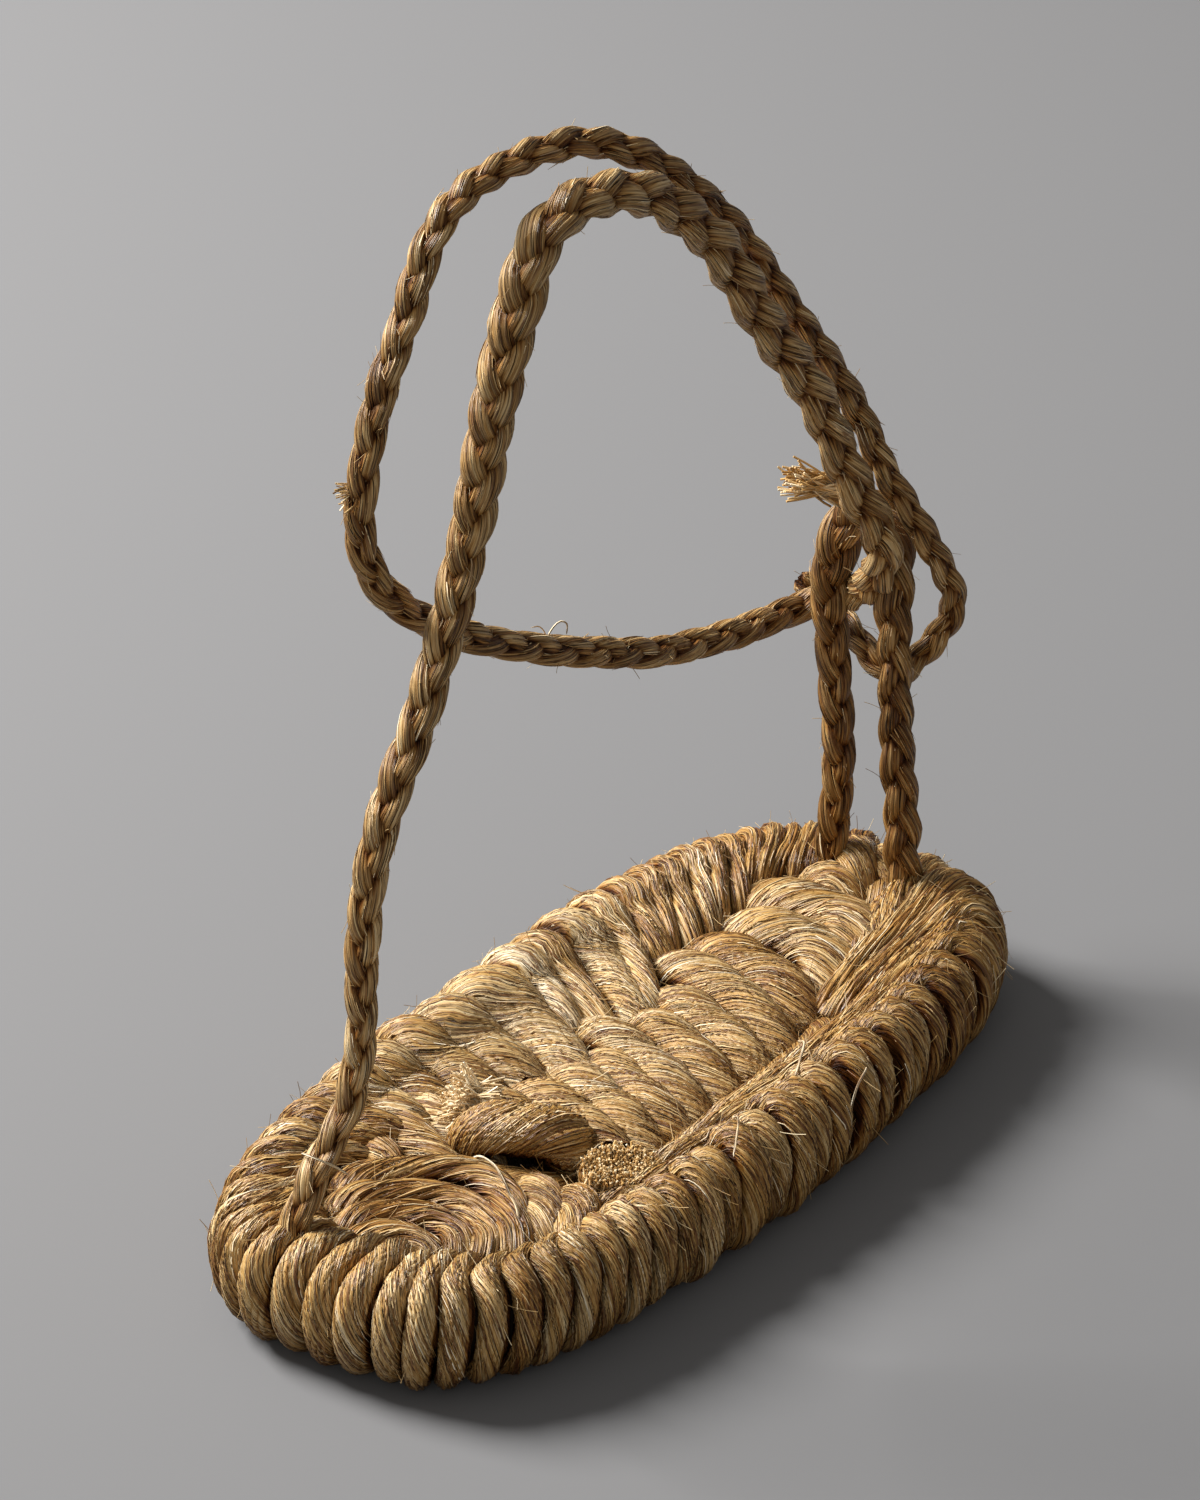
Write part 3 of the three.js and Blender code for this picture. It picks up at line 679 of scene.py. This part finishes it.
def rim_route(weft):
    """The middle line of a weft from its inner end over the rim and under to the centre."""
    u, x_in, y_in, slip, _, bend, _, _ = weft
    uneven = 1.7 if u > 95 else 0.6
    x_in, y_in = x_in + rng.normal(0, uneven), y_in + rng.normal(0, uneven)
    x_a, y_a = rim(u, TOP_INSET)
    points = [(x_in, y_in, top_height(x_in, y_in) - WEFT_DEPTH - 6.0)]
    for share, sink in TOP_STEPS:
        x, y = x_in + (x_a - x_in) * share, y_in + (y_a - y_in) * share
        y = y + bend * 4 * share * (1 - share)
        points.append((x, y, top_height(x, y) - WEFT_DEPTH - sink))
    deep = SOLE_MIDDLE - WEFT_DEPTH
    for angle, part in EDGE_STEPS:
        c, s = math.cos(math.radians(angle)), math.sin(math.radians(angle))
        x, y = rim(u + slip * part, WEFT_DEPTH + 7.0 * (1 - abs(c) ** 0.85))
        points.append((x, y, SOLE_MIDDLE + deep * math.copysign(abs(s) ** 0.9, s)))
    x_b, y_b = rim(u + slip, UNDER_INSET)
    y_c = y_b * 0.8
    for share in (0.0, 0.4, 0.8, 1.0):
        points.append((x_b * (1 - share), y_b * (1 - share) + y_c * share, WEFT_DEPTH - 0.4))
    return np.array(points)


def thin_under(path):
    """Fewer points along the underside, which lies on the floor."""
    low = path[:, 2] < WEFT_DEPTH
    keep = ~low | (np.arange(len(path)) % 3 == 0)
    keep[0] = keep[-1] = True
    return path[keep]


def rim_family():
    """All the wefts that wrap the rim, shared out between toe, left and right."""
    shares = {"left": Straw(), "toe": Straw(), "right": Straw()}
    routes = [rim_route(weft) for weft in RIM_WEFTS]
    for i, (u, _, _, _, fat, _, turn, tone) in enumerate(RIM_WEFTS):
        _, side, spread, narrower, uneven, shade, painted_shade_heights = next(
            zone for zone in RIM_ZONES if u < zone[0])
        before, after = routes[i - 1], routes[(i + 1) % len(routes)]
        _, broad, _ = axes_along(routes[i], outward(routes[i]))
        room = np.abs(((after - before) * broad).sum(1)) / 2
        room = np.clip(np.maximum(room, 0.3 * np.linalg.norm(after - before, axis=1)), *ROOM)
        key = run_of(routes[i])
        path = thin_under(smooth(routes[i], 1.8))
        at = run_of(path) / run_of(path)[-1] * key[-1]
        low_part = np.clip(1 - (path[:, 2] - 5) / 15, 0, 1) * (path[:, 2] > 4.7)
        wide = np.interp(at, key, room) * (spread * (1 - narrower * low_part)) * fat
        thick = np.clip(0.8 * wide + 1.3, *HALF_THICKNESS)
        face = outward(path)
        lift = (WEFT_DEPTH - thick) * 0.92 + rng.normal(0, uneven)
        groove, wander = (0.9, 1.5) if turn > 90 else (0.6, 0.9)
        shares[side].strand(path + face * lift[:, None], face, wide, thick, turn,
                            tone=tone + shade + rng.normal(0, 0.05), floor=True, taper=(7, 4),
                            bundles=16 if wide.max() < 6 else 20, groove=groove,
                            wander=wander, threads=0.6, painted_shade_heights=painted_shade_heights)
    return shares


# ---- centre of the top
# The wefts that fill the middle of the top. Points x, y; half width; half thickness; turn; tone.
CENTRE_WEFTS = [
    ([(-22, 79), (-12, 86), (0, 88), (10, 84), (19, 74)], 8.4, 6.6, 70, 0.5),
    ([(-19, 68), (-9, 73), (2, 74), (11, 70), (20, 60)], 8.4, 6.8, 60, 0.55),
    ([(-21, 57), (-11, 60), (0, 58.5), (10, 53.5), (20, 46)], 7.0, 6.0, 50, 0.47),
    ([(-26, 49), (-14, 49), (-2, 46), (10, 40), (24, 31)], 7.2, 6.3, 42, 0.53),
    ([(-16, 36), (-6, 35), (4, 31), (13, 26.5), (25, 20)], 6.7, 6.0, 42, 0.55),
    ([(-15, 25), (-6, 24), (3, 20), (12, 15), (25, 8)], 6.5, 5.8, 42, 0.51),
    ([(-24, 14.5), (-13, 14), (-1, 9.5), (11, 3.5), (25, -5)], 6.6, 6.0, 40, 0.57),
    ([(-14, 4), (-5, 3), (4, -2), (13, -7), (25, -14)], 6.4, 5.7, 42, 0.52),
    ([(-17, -5), (-7, -7), (3, -12), (12, -16.5), (25, -23)], 6.5, 5.8, 40, 0.55),
    ([(-21, -17), (-9, -18.5), (2, -22), (12, -26), (22, -32)], 6.7, 5.8, 42, 0.52),
    ([(-24, -27), (-14, -28), (-4, -30.5), (6, -33.5), (16, -38)], 6.2, 5.2, 44, 0.49),
]
# Thin wisps nested in a bow inside the toe: points x, y, depth under the top, half width.
TOE_WISPS = [
    ([(-22, -84, 3), (-19, -75, 0), (-13, -66, -0.4), (-6, -60, -1), (1, -58, -1.1),
      (9, -61, -0.9), (16, -68, -0.4), (22, -76, 0.8), (25, -84, 5)], 4.7),
    ([(-18, -91, 5), (-15.5, -82, 1), (-9.5, -74, 0.7), (-1.5, -68.5, 0.6), (6, -69.5, 0.5),
      (13, -74.5, 0.7), (18.5, -81.5, 1), (20.5, -90, 5)], 4.5),
    ([(-12, -96, 6), (-10.5, -88.5, 2), (-6, -82, 1.7), (0.5, -78, 1.5), (7.5, -79, 1.5),
      (13, -84, 1.7), (16, -91, 5)], 4.4),
    ([(-9, -98, 6), (-5, -91.5, 3), (0.5, -88, 2.4), (6.5, -88.5, 2.4), (11, -92, 3.2),
      (12.5, -97, 6)], 4.2),
]
# Short wefts under and beside the tucked end, and the two that close the heel. Points x, y,
# depth under the top; half width; turn; tone.
FILL_WEFTS = [
    ([(-33, -33, 6), (-27, -37, 0.5), (-19, -41, 0), (-10, -44, 1.5), (-3, -47, 6)],
     5.6, 50, 0.55),
    ([(-33, -43, 6), (-27, -47.5, 0.8), (-19, -52, 0.2), (-11, -55, 0.8), (-4, -56, 5)],
     5.6, 48, 0.5),
    ([(-30, -56, 6), (-25, -60, 1.2), (-19, -66, 0.8), (-16, -74, 1.5), (-17, -82, 6)],
     5.2, 50, 0.46),
    ([(-12, -52, 5), (-4, -53, 2), (4, -51.5, 1.8), (11, -48, 2.4), (16, -43, 5)], 5.4, 48, 0.44),
    ([(6, -47, 6), (12, -52, 0.8), (18, -59, 0), (23, -67, 0.5), (27, -76, 5)], 5.4, 46, 0.5),
    ([(17, -46, 6), (22, -51, 0.6), (26.5, -57, 0), (29, -65, 1), (30, -73, 6)], 5.0, 46, 0.47),
    ([(14, -31, 6), (20, -32, 1), (26, -34.5, 0.6), (32, -40, 2), (35, -47, 6)], 5.6, 46, 0.48),
    ([(-14, 97, 6), (-9, 98.5, 0.6), (-3, 97.5, -0.6), (1, 94.5, 2), (3, 91, 7)], 5.4, 44, 0.5),
    ([(-8, 114, 5), (-6, 109.5, -1.2), (-3, 105, -2), (-1, 101, 0), (0, 97, 7)], 5.6, 36, 0.48),
]


def laid(route, depth, step=1.4):
    """A smooth route whose third numbers are depths under the crests of the top."""
    return smooth([(x, y, top_height(x, y) - depth - sink) for x, y, sink in route], step)


def centre_family(straw):
    """The wefts of the middle, the bow of wisps in the toe, and the short ones between."""
    for route, wide, thick, turn, tone in CENTRE_WEFTS:
        ends = (route[0], route[-1])
        path = laid([(*spot, 5.5 if spot in ends else -0.9) for spot in route], thick)
        face = unit(outward(path) + 2 * UP)
        straw.strand(path, face, wide * (1 + rng.normal(0, 0.03)), thick, turn, tone=tone,
                     bundles=20, taper=(7, 7), lump=0.8, groove=0.7, sides=56, threads=1.2,
                     painted_shade_heights=(0.18, 0.74))
    for route, wide in TOE_WISPS:
        straw.strand(laid(route, wide * 0.8), UP, wide, wide * 0.9, 85,
                     tone=0.42 + rng.normal(0, 0.05), bundles=15, sides=50, taper=(5, 5),
                     groove=0.8, lump=0.9, threads=1.1, painted_shade_heights=(0.25, 0.82))
    for route, wide, turn, tone in FILL_WEFTS:
        straw.strand(laid(route, wide * 0.85), UP, wide, wide * 0.9, turn, tone=tone,
                     bundles=15, sides=50, taper=(5, 5), groove=0.7, threads=0.8,
                     painted_shade_heights=(0.0, 0.65))


# Lower wefts that close the gaps beside the middle: points x, y, depth under the top.
PACKING_WEFTS = [
    [(23, 58, 6), (26, 44, 4), (27.5, 24, 3.6), (28, 4, 3.6), (28, -14, 3.6), (28, -26, 6)],
    [(5, 113, 7), (5.5, 107, 3), (5, 100, 3), (3, 91, 7)],
]


def packing_wefts(straw):
    """Straw packed under the seams between the middle and the rim."""
    for route in PACKING_WEFTS:
        straw.strand(laid(route, 4.4, 1.6), UP, 5.6, 4.6, 46, tone=0.4, bundles=15, sides=44,
                     taper=(5, 5), groove=0.7, painted_shade_heights=(-0.6, 0.9))


def spare_ends(straw):
    """The tucked end lying across the top and the stub that was cut off beside it."""
    tucked = [(-12, -45, 17), (-9.5, -46.5, 21.5), (-4.5, -46, 24.6), (2.5, -43.5, 25.4),
              (9, -40, 24.4), (15, -35.5, 19.5)]
    straw.strand(smooth(tucked, 1.3), np.array([0.2, -0.5, 1.0]), 6.5, 5.3, 36, tone=0.48,
                 bundles=24, sides=64, taper=(6, 5), groove=0.8, lump=1.4, threads=2.4,
                 painted_shade_heights=(-0.4, 0.4))
    stub = [(13, -32, 15), (19, -36, 17.5), (24.3, -40.4, 19.4), (27.2, -43, 24.4)]
    straw.strand(smooth(stub, 1.3), np.array([0.6, -0.7, 0.3]), 8.4, 5.6, 70, tone=0.52,
                 bundles=26, sides=64, taper=(4, 0.7), groove=0.9, lump=0.8, threads=1.5)


# Single straws that have come away: points x, y, z, then half thickness.
LOOSE_STRAWS = [
    ([(-4, -54.5, 21), (-1, -55.6, 23.4), (4, -57.5, 24), (9, -61.3, 23.9), (14, -66, 24),
      (19, -70.5, 24.3), (22, -74, 21)], 0.3),
    ([(-16.6, -101.5, 41), (-13.5, -103, 42.2), (-9.8, -102.4, 41.6), (-7.8, -99.6, 39.2),
      (-6.2, -98.3, 37.6)], 0.28),
    ([(30, 26, 25), (33.5, 23, 27.2), (37, 16, 28), (39.5, 10, 27)], 0.3),
    ([(47, 26, 22), (49.5, 24, 25.6), (51.5, 17, 25), (53, 12, 22)], 0.26),
    ([(38, -14, 27), (41, -16.5, 29.2), (45, -23, 29.6), (48, -29, 27.5)], 0.24),
    ([(-18.3, -9, 124), (-17.5, -8, 128), (-16, -6.5, 130.5), (-15.2, -5, 129.8),
      (-16, -3.5, 126)], 0.2),
    ([(-18.8, -7, 123), (-19, -7.5, 127), (-19.4, -9.5, 129.5), (-20, -12, 130)], 0.16),
]


def loose_straws(straw):
    """The single straws that lie over the wefts and cords."""
    for route, size in LOOSE_STRAWS:
        straw.strand(smooth(route, 1.0), np.array([0.2, -0.3, 1.0]), size, size, 400, tone=0.75,
                     bundles=3, sides=8, groove=0.0, lump=0.0, taper=(2, 2), painted_shade_heights=(-3.0, -2.0))


# ---- cords
# Each cord's route, points x, y, z. By share of its length: TAPER is its size as a share of its
# radius, PERIOD is the millimetres in which its plait repeats.
TOE_CORD = [
    (-14.2, -111.4, 16.2), (-12.9, -106, 31.5), (-12.6, -99.5, 39.9), (-12, -91, 49),
    (-11.2, -87.6, 65), (-10.5, -88.3, 86), (-9.9, -88.2, 98.8), (-9.2, -84.6, 113.4),
    (-7.8, -72.5, 137), (-6.9, -61.5, 160.5), (-5.9, -53.4, 190), (-4.8, -43.5, 222),
    (-4.2, -36.8, 234.5), (-3.8, -26.1, 239.4), (-3.1, -0.9, 234.6), (-2.3, 27.8, 213.5),
    (-1.5, 49.9, 186.1), (-0.6, 71, 160), (2.2, 86.4, 132.4), (5.2, 93.4, 118.4),
    (5.4, 94.6, 113.6), (4.2, 96.2, 108.8), (1.4, 98.5, 103.8), (-5, 104.6, 96.4),
    (-15.4, 111.3, 88.3),
]
TOE_TAPER = [(0, 0.76), (0.12, 0.76), (0.3, 0.9), (0.47, 1.15), (0.6, 1.12), (0.88, 1.04),
             (0.95, 0.95), (1, 0.78)]
HEEL_LOOP = [
    (-10.9, 105.4, 14.5), (-9.8, 104, 29), (-9, 104, 48), (-11.8, 104, 78.4),
    (-13.9, 104, 95), (-12, 104.4, 107.6), (-9.9, 105, 113), (-6.7, 105.5, 116.2),
    (-2.6, 105.5, 115.6), (0.7, 105.5, 112), (3.5, 104.3, 101), (4.2, 104, 89),
    (5.6, 104, 67.1), (8.7, 104, 43), (9.3, 104, 31.2), (10.4, 105.4, 14.5),
]
HEEL_TAPER = [(0, 0.9), (0.3, 0.95), (0.42, 1.2), (0.56, 1.2), (0.68, 1), (1, 1.02)]
ANKLE_TIE = [
    (-15.4, 111.3, 88.3), (-20.6, 112.6, 85.8), (-24.6, 109, 84.2), (-24.8, 101, 85.4),
    (-22, 72.3, 92.4), (-20, 42.4, 101.8), (-18, -12.1, 125.6), (-18, -58.1, 152),
    (-18, -75, 168.5), (-18, -80.9, 184), (-18, -76.5, 204.7), (-18, -64.9, 225),
    (-18, -59.5, 235.6), (-18, -51.6, 242.8), (-18, -39, 246.4), (-16, -9.3, 245.1),
    (-12, 15, 235), (-8.6, 42.8, 211.9), (-4.2, 67.5, 180.8), (0.2, 88.1, 151.4),
    (4.8, 97, 131.4), (10.6, 104.4, 115.3), (14.6, 112, 99.2), (13.7, 113.6, 92.1),
    (10.2, 113.8, 85.4), (4.6, 113.2, 77.4), (-0.3, 113, 72.4), (-6.1, 113.4, 73.6),
    (-11.4, 115.2, 76.4), (-24.4, 120.7, 81.8), (-31, 118.4, 86.4),
]
TIE_TAPER = [(0, 1.05), (0.25, 0.98), (0.6, 1.02), (0.8, 0.95), (1, 0.9)]
HEEL_PERIOD = [(0, 31), (1, 31)]
TOE_PERIOD = [(0, 33), (0.3, 31), (0.42, 28), (0.5, 31), (0.58, 48), (0.76, 50), (0.88, 40),
              (0.93, 30), (1, 26)]
TIE_PERIOD = [(0, 30), (0.05, 46), (0.33, 48), (0.38, 30), (0.5, 27), (0.56, 38), (0.66, 42),
              (0.78, 38), (0.86, 29), (1, 27)]
# The heel loop's frayed tail.
TAIL = [(-3.2, 103.2, 114.5), (-5.2, 100.5, 119.2), (-7.2, 96, 123.6), (-9.6, 90.5, 127.4)]
# How far a plait's strands swing and how fat they are, as shares of the plait's half size.
SIDE_SWING, FACE_SWING = 0.43, 0.32
STRAND_WIDTH, STRAND_DEPTH = 0.61, 0.51


def by_share(share, table):
    """A value from a table of shares and values."""
    return np.interp(share, *zip(*table))


def plait(straw, route, radius, taper, period, tone, sides=34, bundles=10):
    """Three strands of straw plaited over each other along a route."""
    path = smooth(route, 1.15)
    s = run_of(path)
    share = s / s[-1]
    size = radius * by_share(share, taper)
    _, broad, up = axes_along(path, PLAIT_FACE)
    pitch = by_share(share, period)
    turns = np.concatenate([[0], np.cumsum(np.diff(s) / (0.5 * (pitch[1:] + pitch[:-1])))])
    for k in range(3):
        angle = 2 * np.pi * (turns + k / 3)
        loose = 1 + 0.05 * np.sin(angle * 0.31 + k)
        line = (path + broad * (SIDE_SWING * size * loose * np.sin(angle))[:, None]
                + up * (FACE_SWING * size * np.sin(2 * angle))[:, None])
        straw.strand(line, up, STRAND_WIDTH * size * loose, STRAND_DEPTH * size, 70.0,
                     tone=tone + rng.normal(0, 0.03), bundles=bundles, sides=sides,
                     groove=0.42, lump=0.34, taper=(2, 3), front=0.64, wander=1.3,
                     threads=0.16, painted_shade_heights=(0.46, 0.94), core=(path, size))


def fibre_bed(name, centre, axis, radius, squash, corners=24):
    """A small round patch that cut fibres grow out of."""
    axis = np.array(axis, float) / np.linalg.norm(axis)
    side = unit(np.cross(axis, [0.0, 0.0, 1.0]))
    other = np.cross(axis, side)
    angle = np.linspace(0, 2 * np.pi, corners, endpoint=False)[:, None]
    edge = np.array(centre) + radius * (np.cos(angle) * side + squash * np.sin(angle) * other)
    faces = [(0, 1 + (i + 1) % corners, 1 + i) for i in range(corners)]
    mesh = bpy.data.meshes.new(name)
    mesh.from_pydata((np.vstack([centre, edge]) * MM).tolist(), [], faces)
    flow = mesh.attributes.new("flow", "FLOAT_VECTOR", "POINT")
    flow.data.foreach_set("vector", np.tile(axis, corners + 1).astype(np.float32))
    show = mesh.attributes.new("show", "FLOAT", "POINT")
    show.data.foreach_set("value", np.ones(corners + 1, np.float32))
    return bpy.data.objects.new(name, mesh)


def dark_filling(inset=7.0, drop=7.5, corners=96):
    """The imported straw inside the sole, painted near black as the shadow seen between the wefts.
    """
    angle = np.linspace(0, 2 * np.pi, corners, endpoint=False)
    power = 2 / SOLE_SQUARENESS
    x = (HALF_WIDTH - inset) * np.sign(np.cos(angle)) * np.abs(np.cos(angle)) ** power
    y = (HALF_LENGTH - inset) * np.sign(np.sin(angle)) * np.abs(np.sin(angle)) ** power
    rings = [np.stack([x * 0.9, y * 0.96, np.full(corners, 3.5)], 1),
             np.stack([x, y, np.full(corners, 9.0)], 1)]
    for share, extra in ((1.0, 1.5), (0.97, 0), (0.86, 0), (0.6, 0), (0.3, 0)):
        height = top_height(x * share, y * share) - drop - extra
        rings.append(np.stack([x * share, y * share, height], 1))
    return np.stack(rings)


# ---- put together
shares = rim_family()
top_straw = Straw()
centre_family(top_straw)
ends_straw = Straw()
spare_ends(ends_straw)
core_straw = Straw()
filling = dark_filling()
core_straw.add_tube(filling, fibre=filling, flow=np.array([0, 1.0, 0]), tone=0.4, gap=0.8,
                    show=0.0)
cords = Straw()
plait(cords, TOE_CORD, 4.65, TOE_TAPER, TOE_PERIOD, tone=0.54)
plait(cords, HEEL_LOOP, 4.2, HEEL_TAPER, HEEL_PERIOD, tone=0.36)
tail = Straw()
loose_straws(tail)
tail.strand(smooth(TAIL, 1.0), PLAIT_FACE, 2.6, 2.3, 40, tone=0.6, bundles=9, sides=30,
            groove=0.5, taper=(1, 1))
tie = Straw()
plait(tie, ANKLE_TIE, 3.5, TIE_TAPER, TIE_PERIOD, tone=0.45, sides=26, bundles=8)
packing_wefts(top_straw)

pieces = {
    "wefts_left": shares["left"].piece("wefts_left", sole_straw),
    "wefts_toe": shares["toe"].piece("wefts_toe", sole_straw),
    "wefts_right": shares["right"].piece("wefts_right", sole_straw),
    "wefts_top": top_straw.piece("wefts_top", sole_straw),
    "weft_ends": ends_straw.piece("weft_ends", sole_straw),
    "sole_filling": core_straw.piece("sole_filling", painted_shadow_core),
    "plaited_cords": cords.piece("plaited_cords", cord_straw),
    "ankle_cord": tie.piece("ankle_cord", cord_straw),
    "frayed_tail": tail.piece("frayed_tail", pale_straw),
}
slots = dict.fromkeys(pieces, "sole_straw")
slots.update(plaited_cords="cord_straw", ankle_cord="cord_straw", frayed_tail="pale_straw")

stray = fibre_tree("stray_fibres", loose_straw)
SOLE_HAIR = dict(Length=0.011, Thickness=0.00006, Arch=0.0026, Lean=0.42, Swing=0.4, Lift=-0.0006)
CORD_FUZZ = dict(Length=0.007, Thickness=0.00005, Arch=0.0013, Lean=0.5, Swing=0.5, Lift=-0.0003)
for host, name, density, seed, hair in (
        ("wefts_left", "stray_left", 15000, 9, SOLE_HAIR),
        ("wefts_toe", "stray_toe", 13000, 4, SOLE_HAIR),
        ("wefts_right", "stray_right", 17000, 7, SOLE_HAIR),
        ("wefts_top", "stray_top", 18000, 6, SOLE_HAIR),
        ("plaited_cords", "plaited_cords_fuzz", 22000, 8, CORD_FUZZ),
        ("ankle_cord", "ankle_cord_fuzz", 24000, 8, CORD_FUZZ)):
    pieces[name] = strew_fibres(pieces[host], name, stray, Density=density, Segments=6,
                                Seed=seed, **hair)
    slots[name] = slots[host]

# Tufts of cut fibres: finish, middle, the way they stand, radius, squash, density, length,
# thickness, lean, segments.
TUFTS = {
    "cut_bristles": (cut_straw, (27.4, -43.1, 24.5), (0.26, -0.32, 0.91), 8.2, 0.66, 9e6,
                     0.003, 0.00022, 0.5, 3),
    "tail_bristles": (cut_straw, (-9.8, 90.2, 127.6), (-0.45, -0.75, 0.35), 2.2, 1.0, 9e6,
                      0.013, 0.00022, 0.4, 6),
    "pale_bristles": (creamy_straw, (-15.0, -38.6, 23.9), (-0.74, -0.45, 0.36), 6.4, 0.72, 7e6,
                      0.009, 0.00022, 0.75, 4),
    "ring_bristles": (loose_straw, (-20.0, -80.5, 190.0), (-0.58, -0.56, -0.3), 2.2, 1.0, 2.6e6,
                      0.006, 0.00015, 0.7, 5),
}
for name, tuft in TUFTS.items():
    finish, centre, axis, radius, squash, density, length, thickness, lean, segments = tuft
    bed = fibre_bed(name + "_bed", centre, axis, radius, squash)
    pieces[name] = strew_fibres(bed, name, fibre_tree(name + "_nodes", finish), Density=density,
                                Length=length, Thickness=thickness, Arch=length * 0.12,
                                Lean=lean, Swing=lean, Lift=0.0, Segments=segments, Seed=5)
    bpy.data.objects.remove(bed)
    slots[name] = "pale_straw"

for name, piece in pieces.items():
    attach(piece, "root")
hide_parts("sole")
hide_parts("upper_straps")
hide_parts("ankle_tie")
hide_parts("weft_end_cut", "weft_end_tucked")


# ---- floor, light and camera
FLOOR_REACH = 6  # metres
LAMPS_LOOK_AT = (0, 0, 0.06)
PHOTO_HEIGHT, FOCAL_LENGTH = 1500, 7720  # both in the photograph's pixels
SENSOR = 36

paint = Finish("pale_floor").painted({
    "Base Color": (0.185, 0.188, 0.196), "Roughness": 0.9, "Specular IOR Level": 0.1})
mesh = bpy.data.meshes.new("floor")
mesh.from_pydata([(FLOOR_REACH * x, FLOOR_REACH * y, 0) for x, y in
                  ((-1, -1), (1, -1), (1, 1), (-1, 1))], [], [(0, 1, 2, 3)])
mesh.materials.append(paint)
floor = in_scene("floor", mesh)

world = bpy.data.worlds.new("studio")
bpy.context.scene.world = world
world.use_nodes = True
backdrop = world.node_tree.nodes["Background"].inputs
backdrop["Color"].default_value = (1.0, 0.965, 0.92, 1)
backdrop["Strength"].default_value = 0.25


def area_light(name, place, size, power, colour):
    """A round lamp that looks at the shoe."""
    data = bpy.data.lights.new(name, "AREA")
    data.shape, data.size = "DISK", size
    data.energy, data.color = power, colour
    lamp = in_scene(name, data)
    lamp.location = place
    aim = Vector(LAMPS_LOOK_AT) - Vector(place)
    lamp.rotation_euler = aim.to_track_quat("-Z", "Y").to_euler()


area_light("key", (-1.5, -0.2, 1.28), 0.95, 102, (1, 0.97, 0.93))
area_light("fill", (0.9, -2.1, 1.1), 1.6, 7, (1, 0.95, 0.88))

camera_data = bpy.data.cameras.new("camera")
camera_data.sensor_fit = "AUTO"
camera_data.sensor_width = SENSOR
camera_data.lens = FOCAL_LENGTH * SENSOR / PHOTO_HEIGHT
camera = in_scene("camera", camera_data)
camera.matrix_world = Matrix((
    (0.83314663, -0.28019827, 0.47681822, 0.8041),
    (0.55236288, 0.37854811, -0.74269549, -1.2659),
    (0.02760336, 0.88215093, 0.4701572, 0.8996),
    (0, 0, 0, 1),
))
bpy.context.scene.camera = camera
bpy.context.scene.view_settings.view_transform = "Standard"
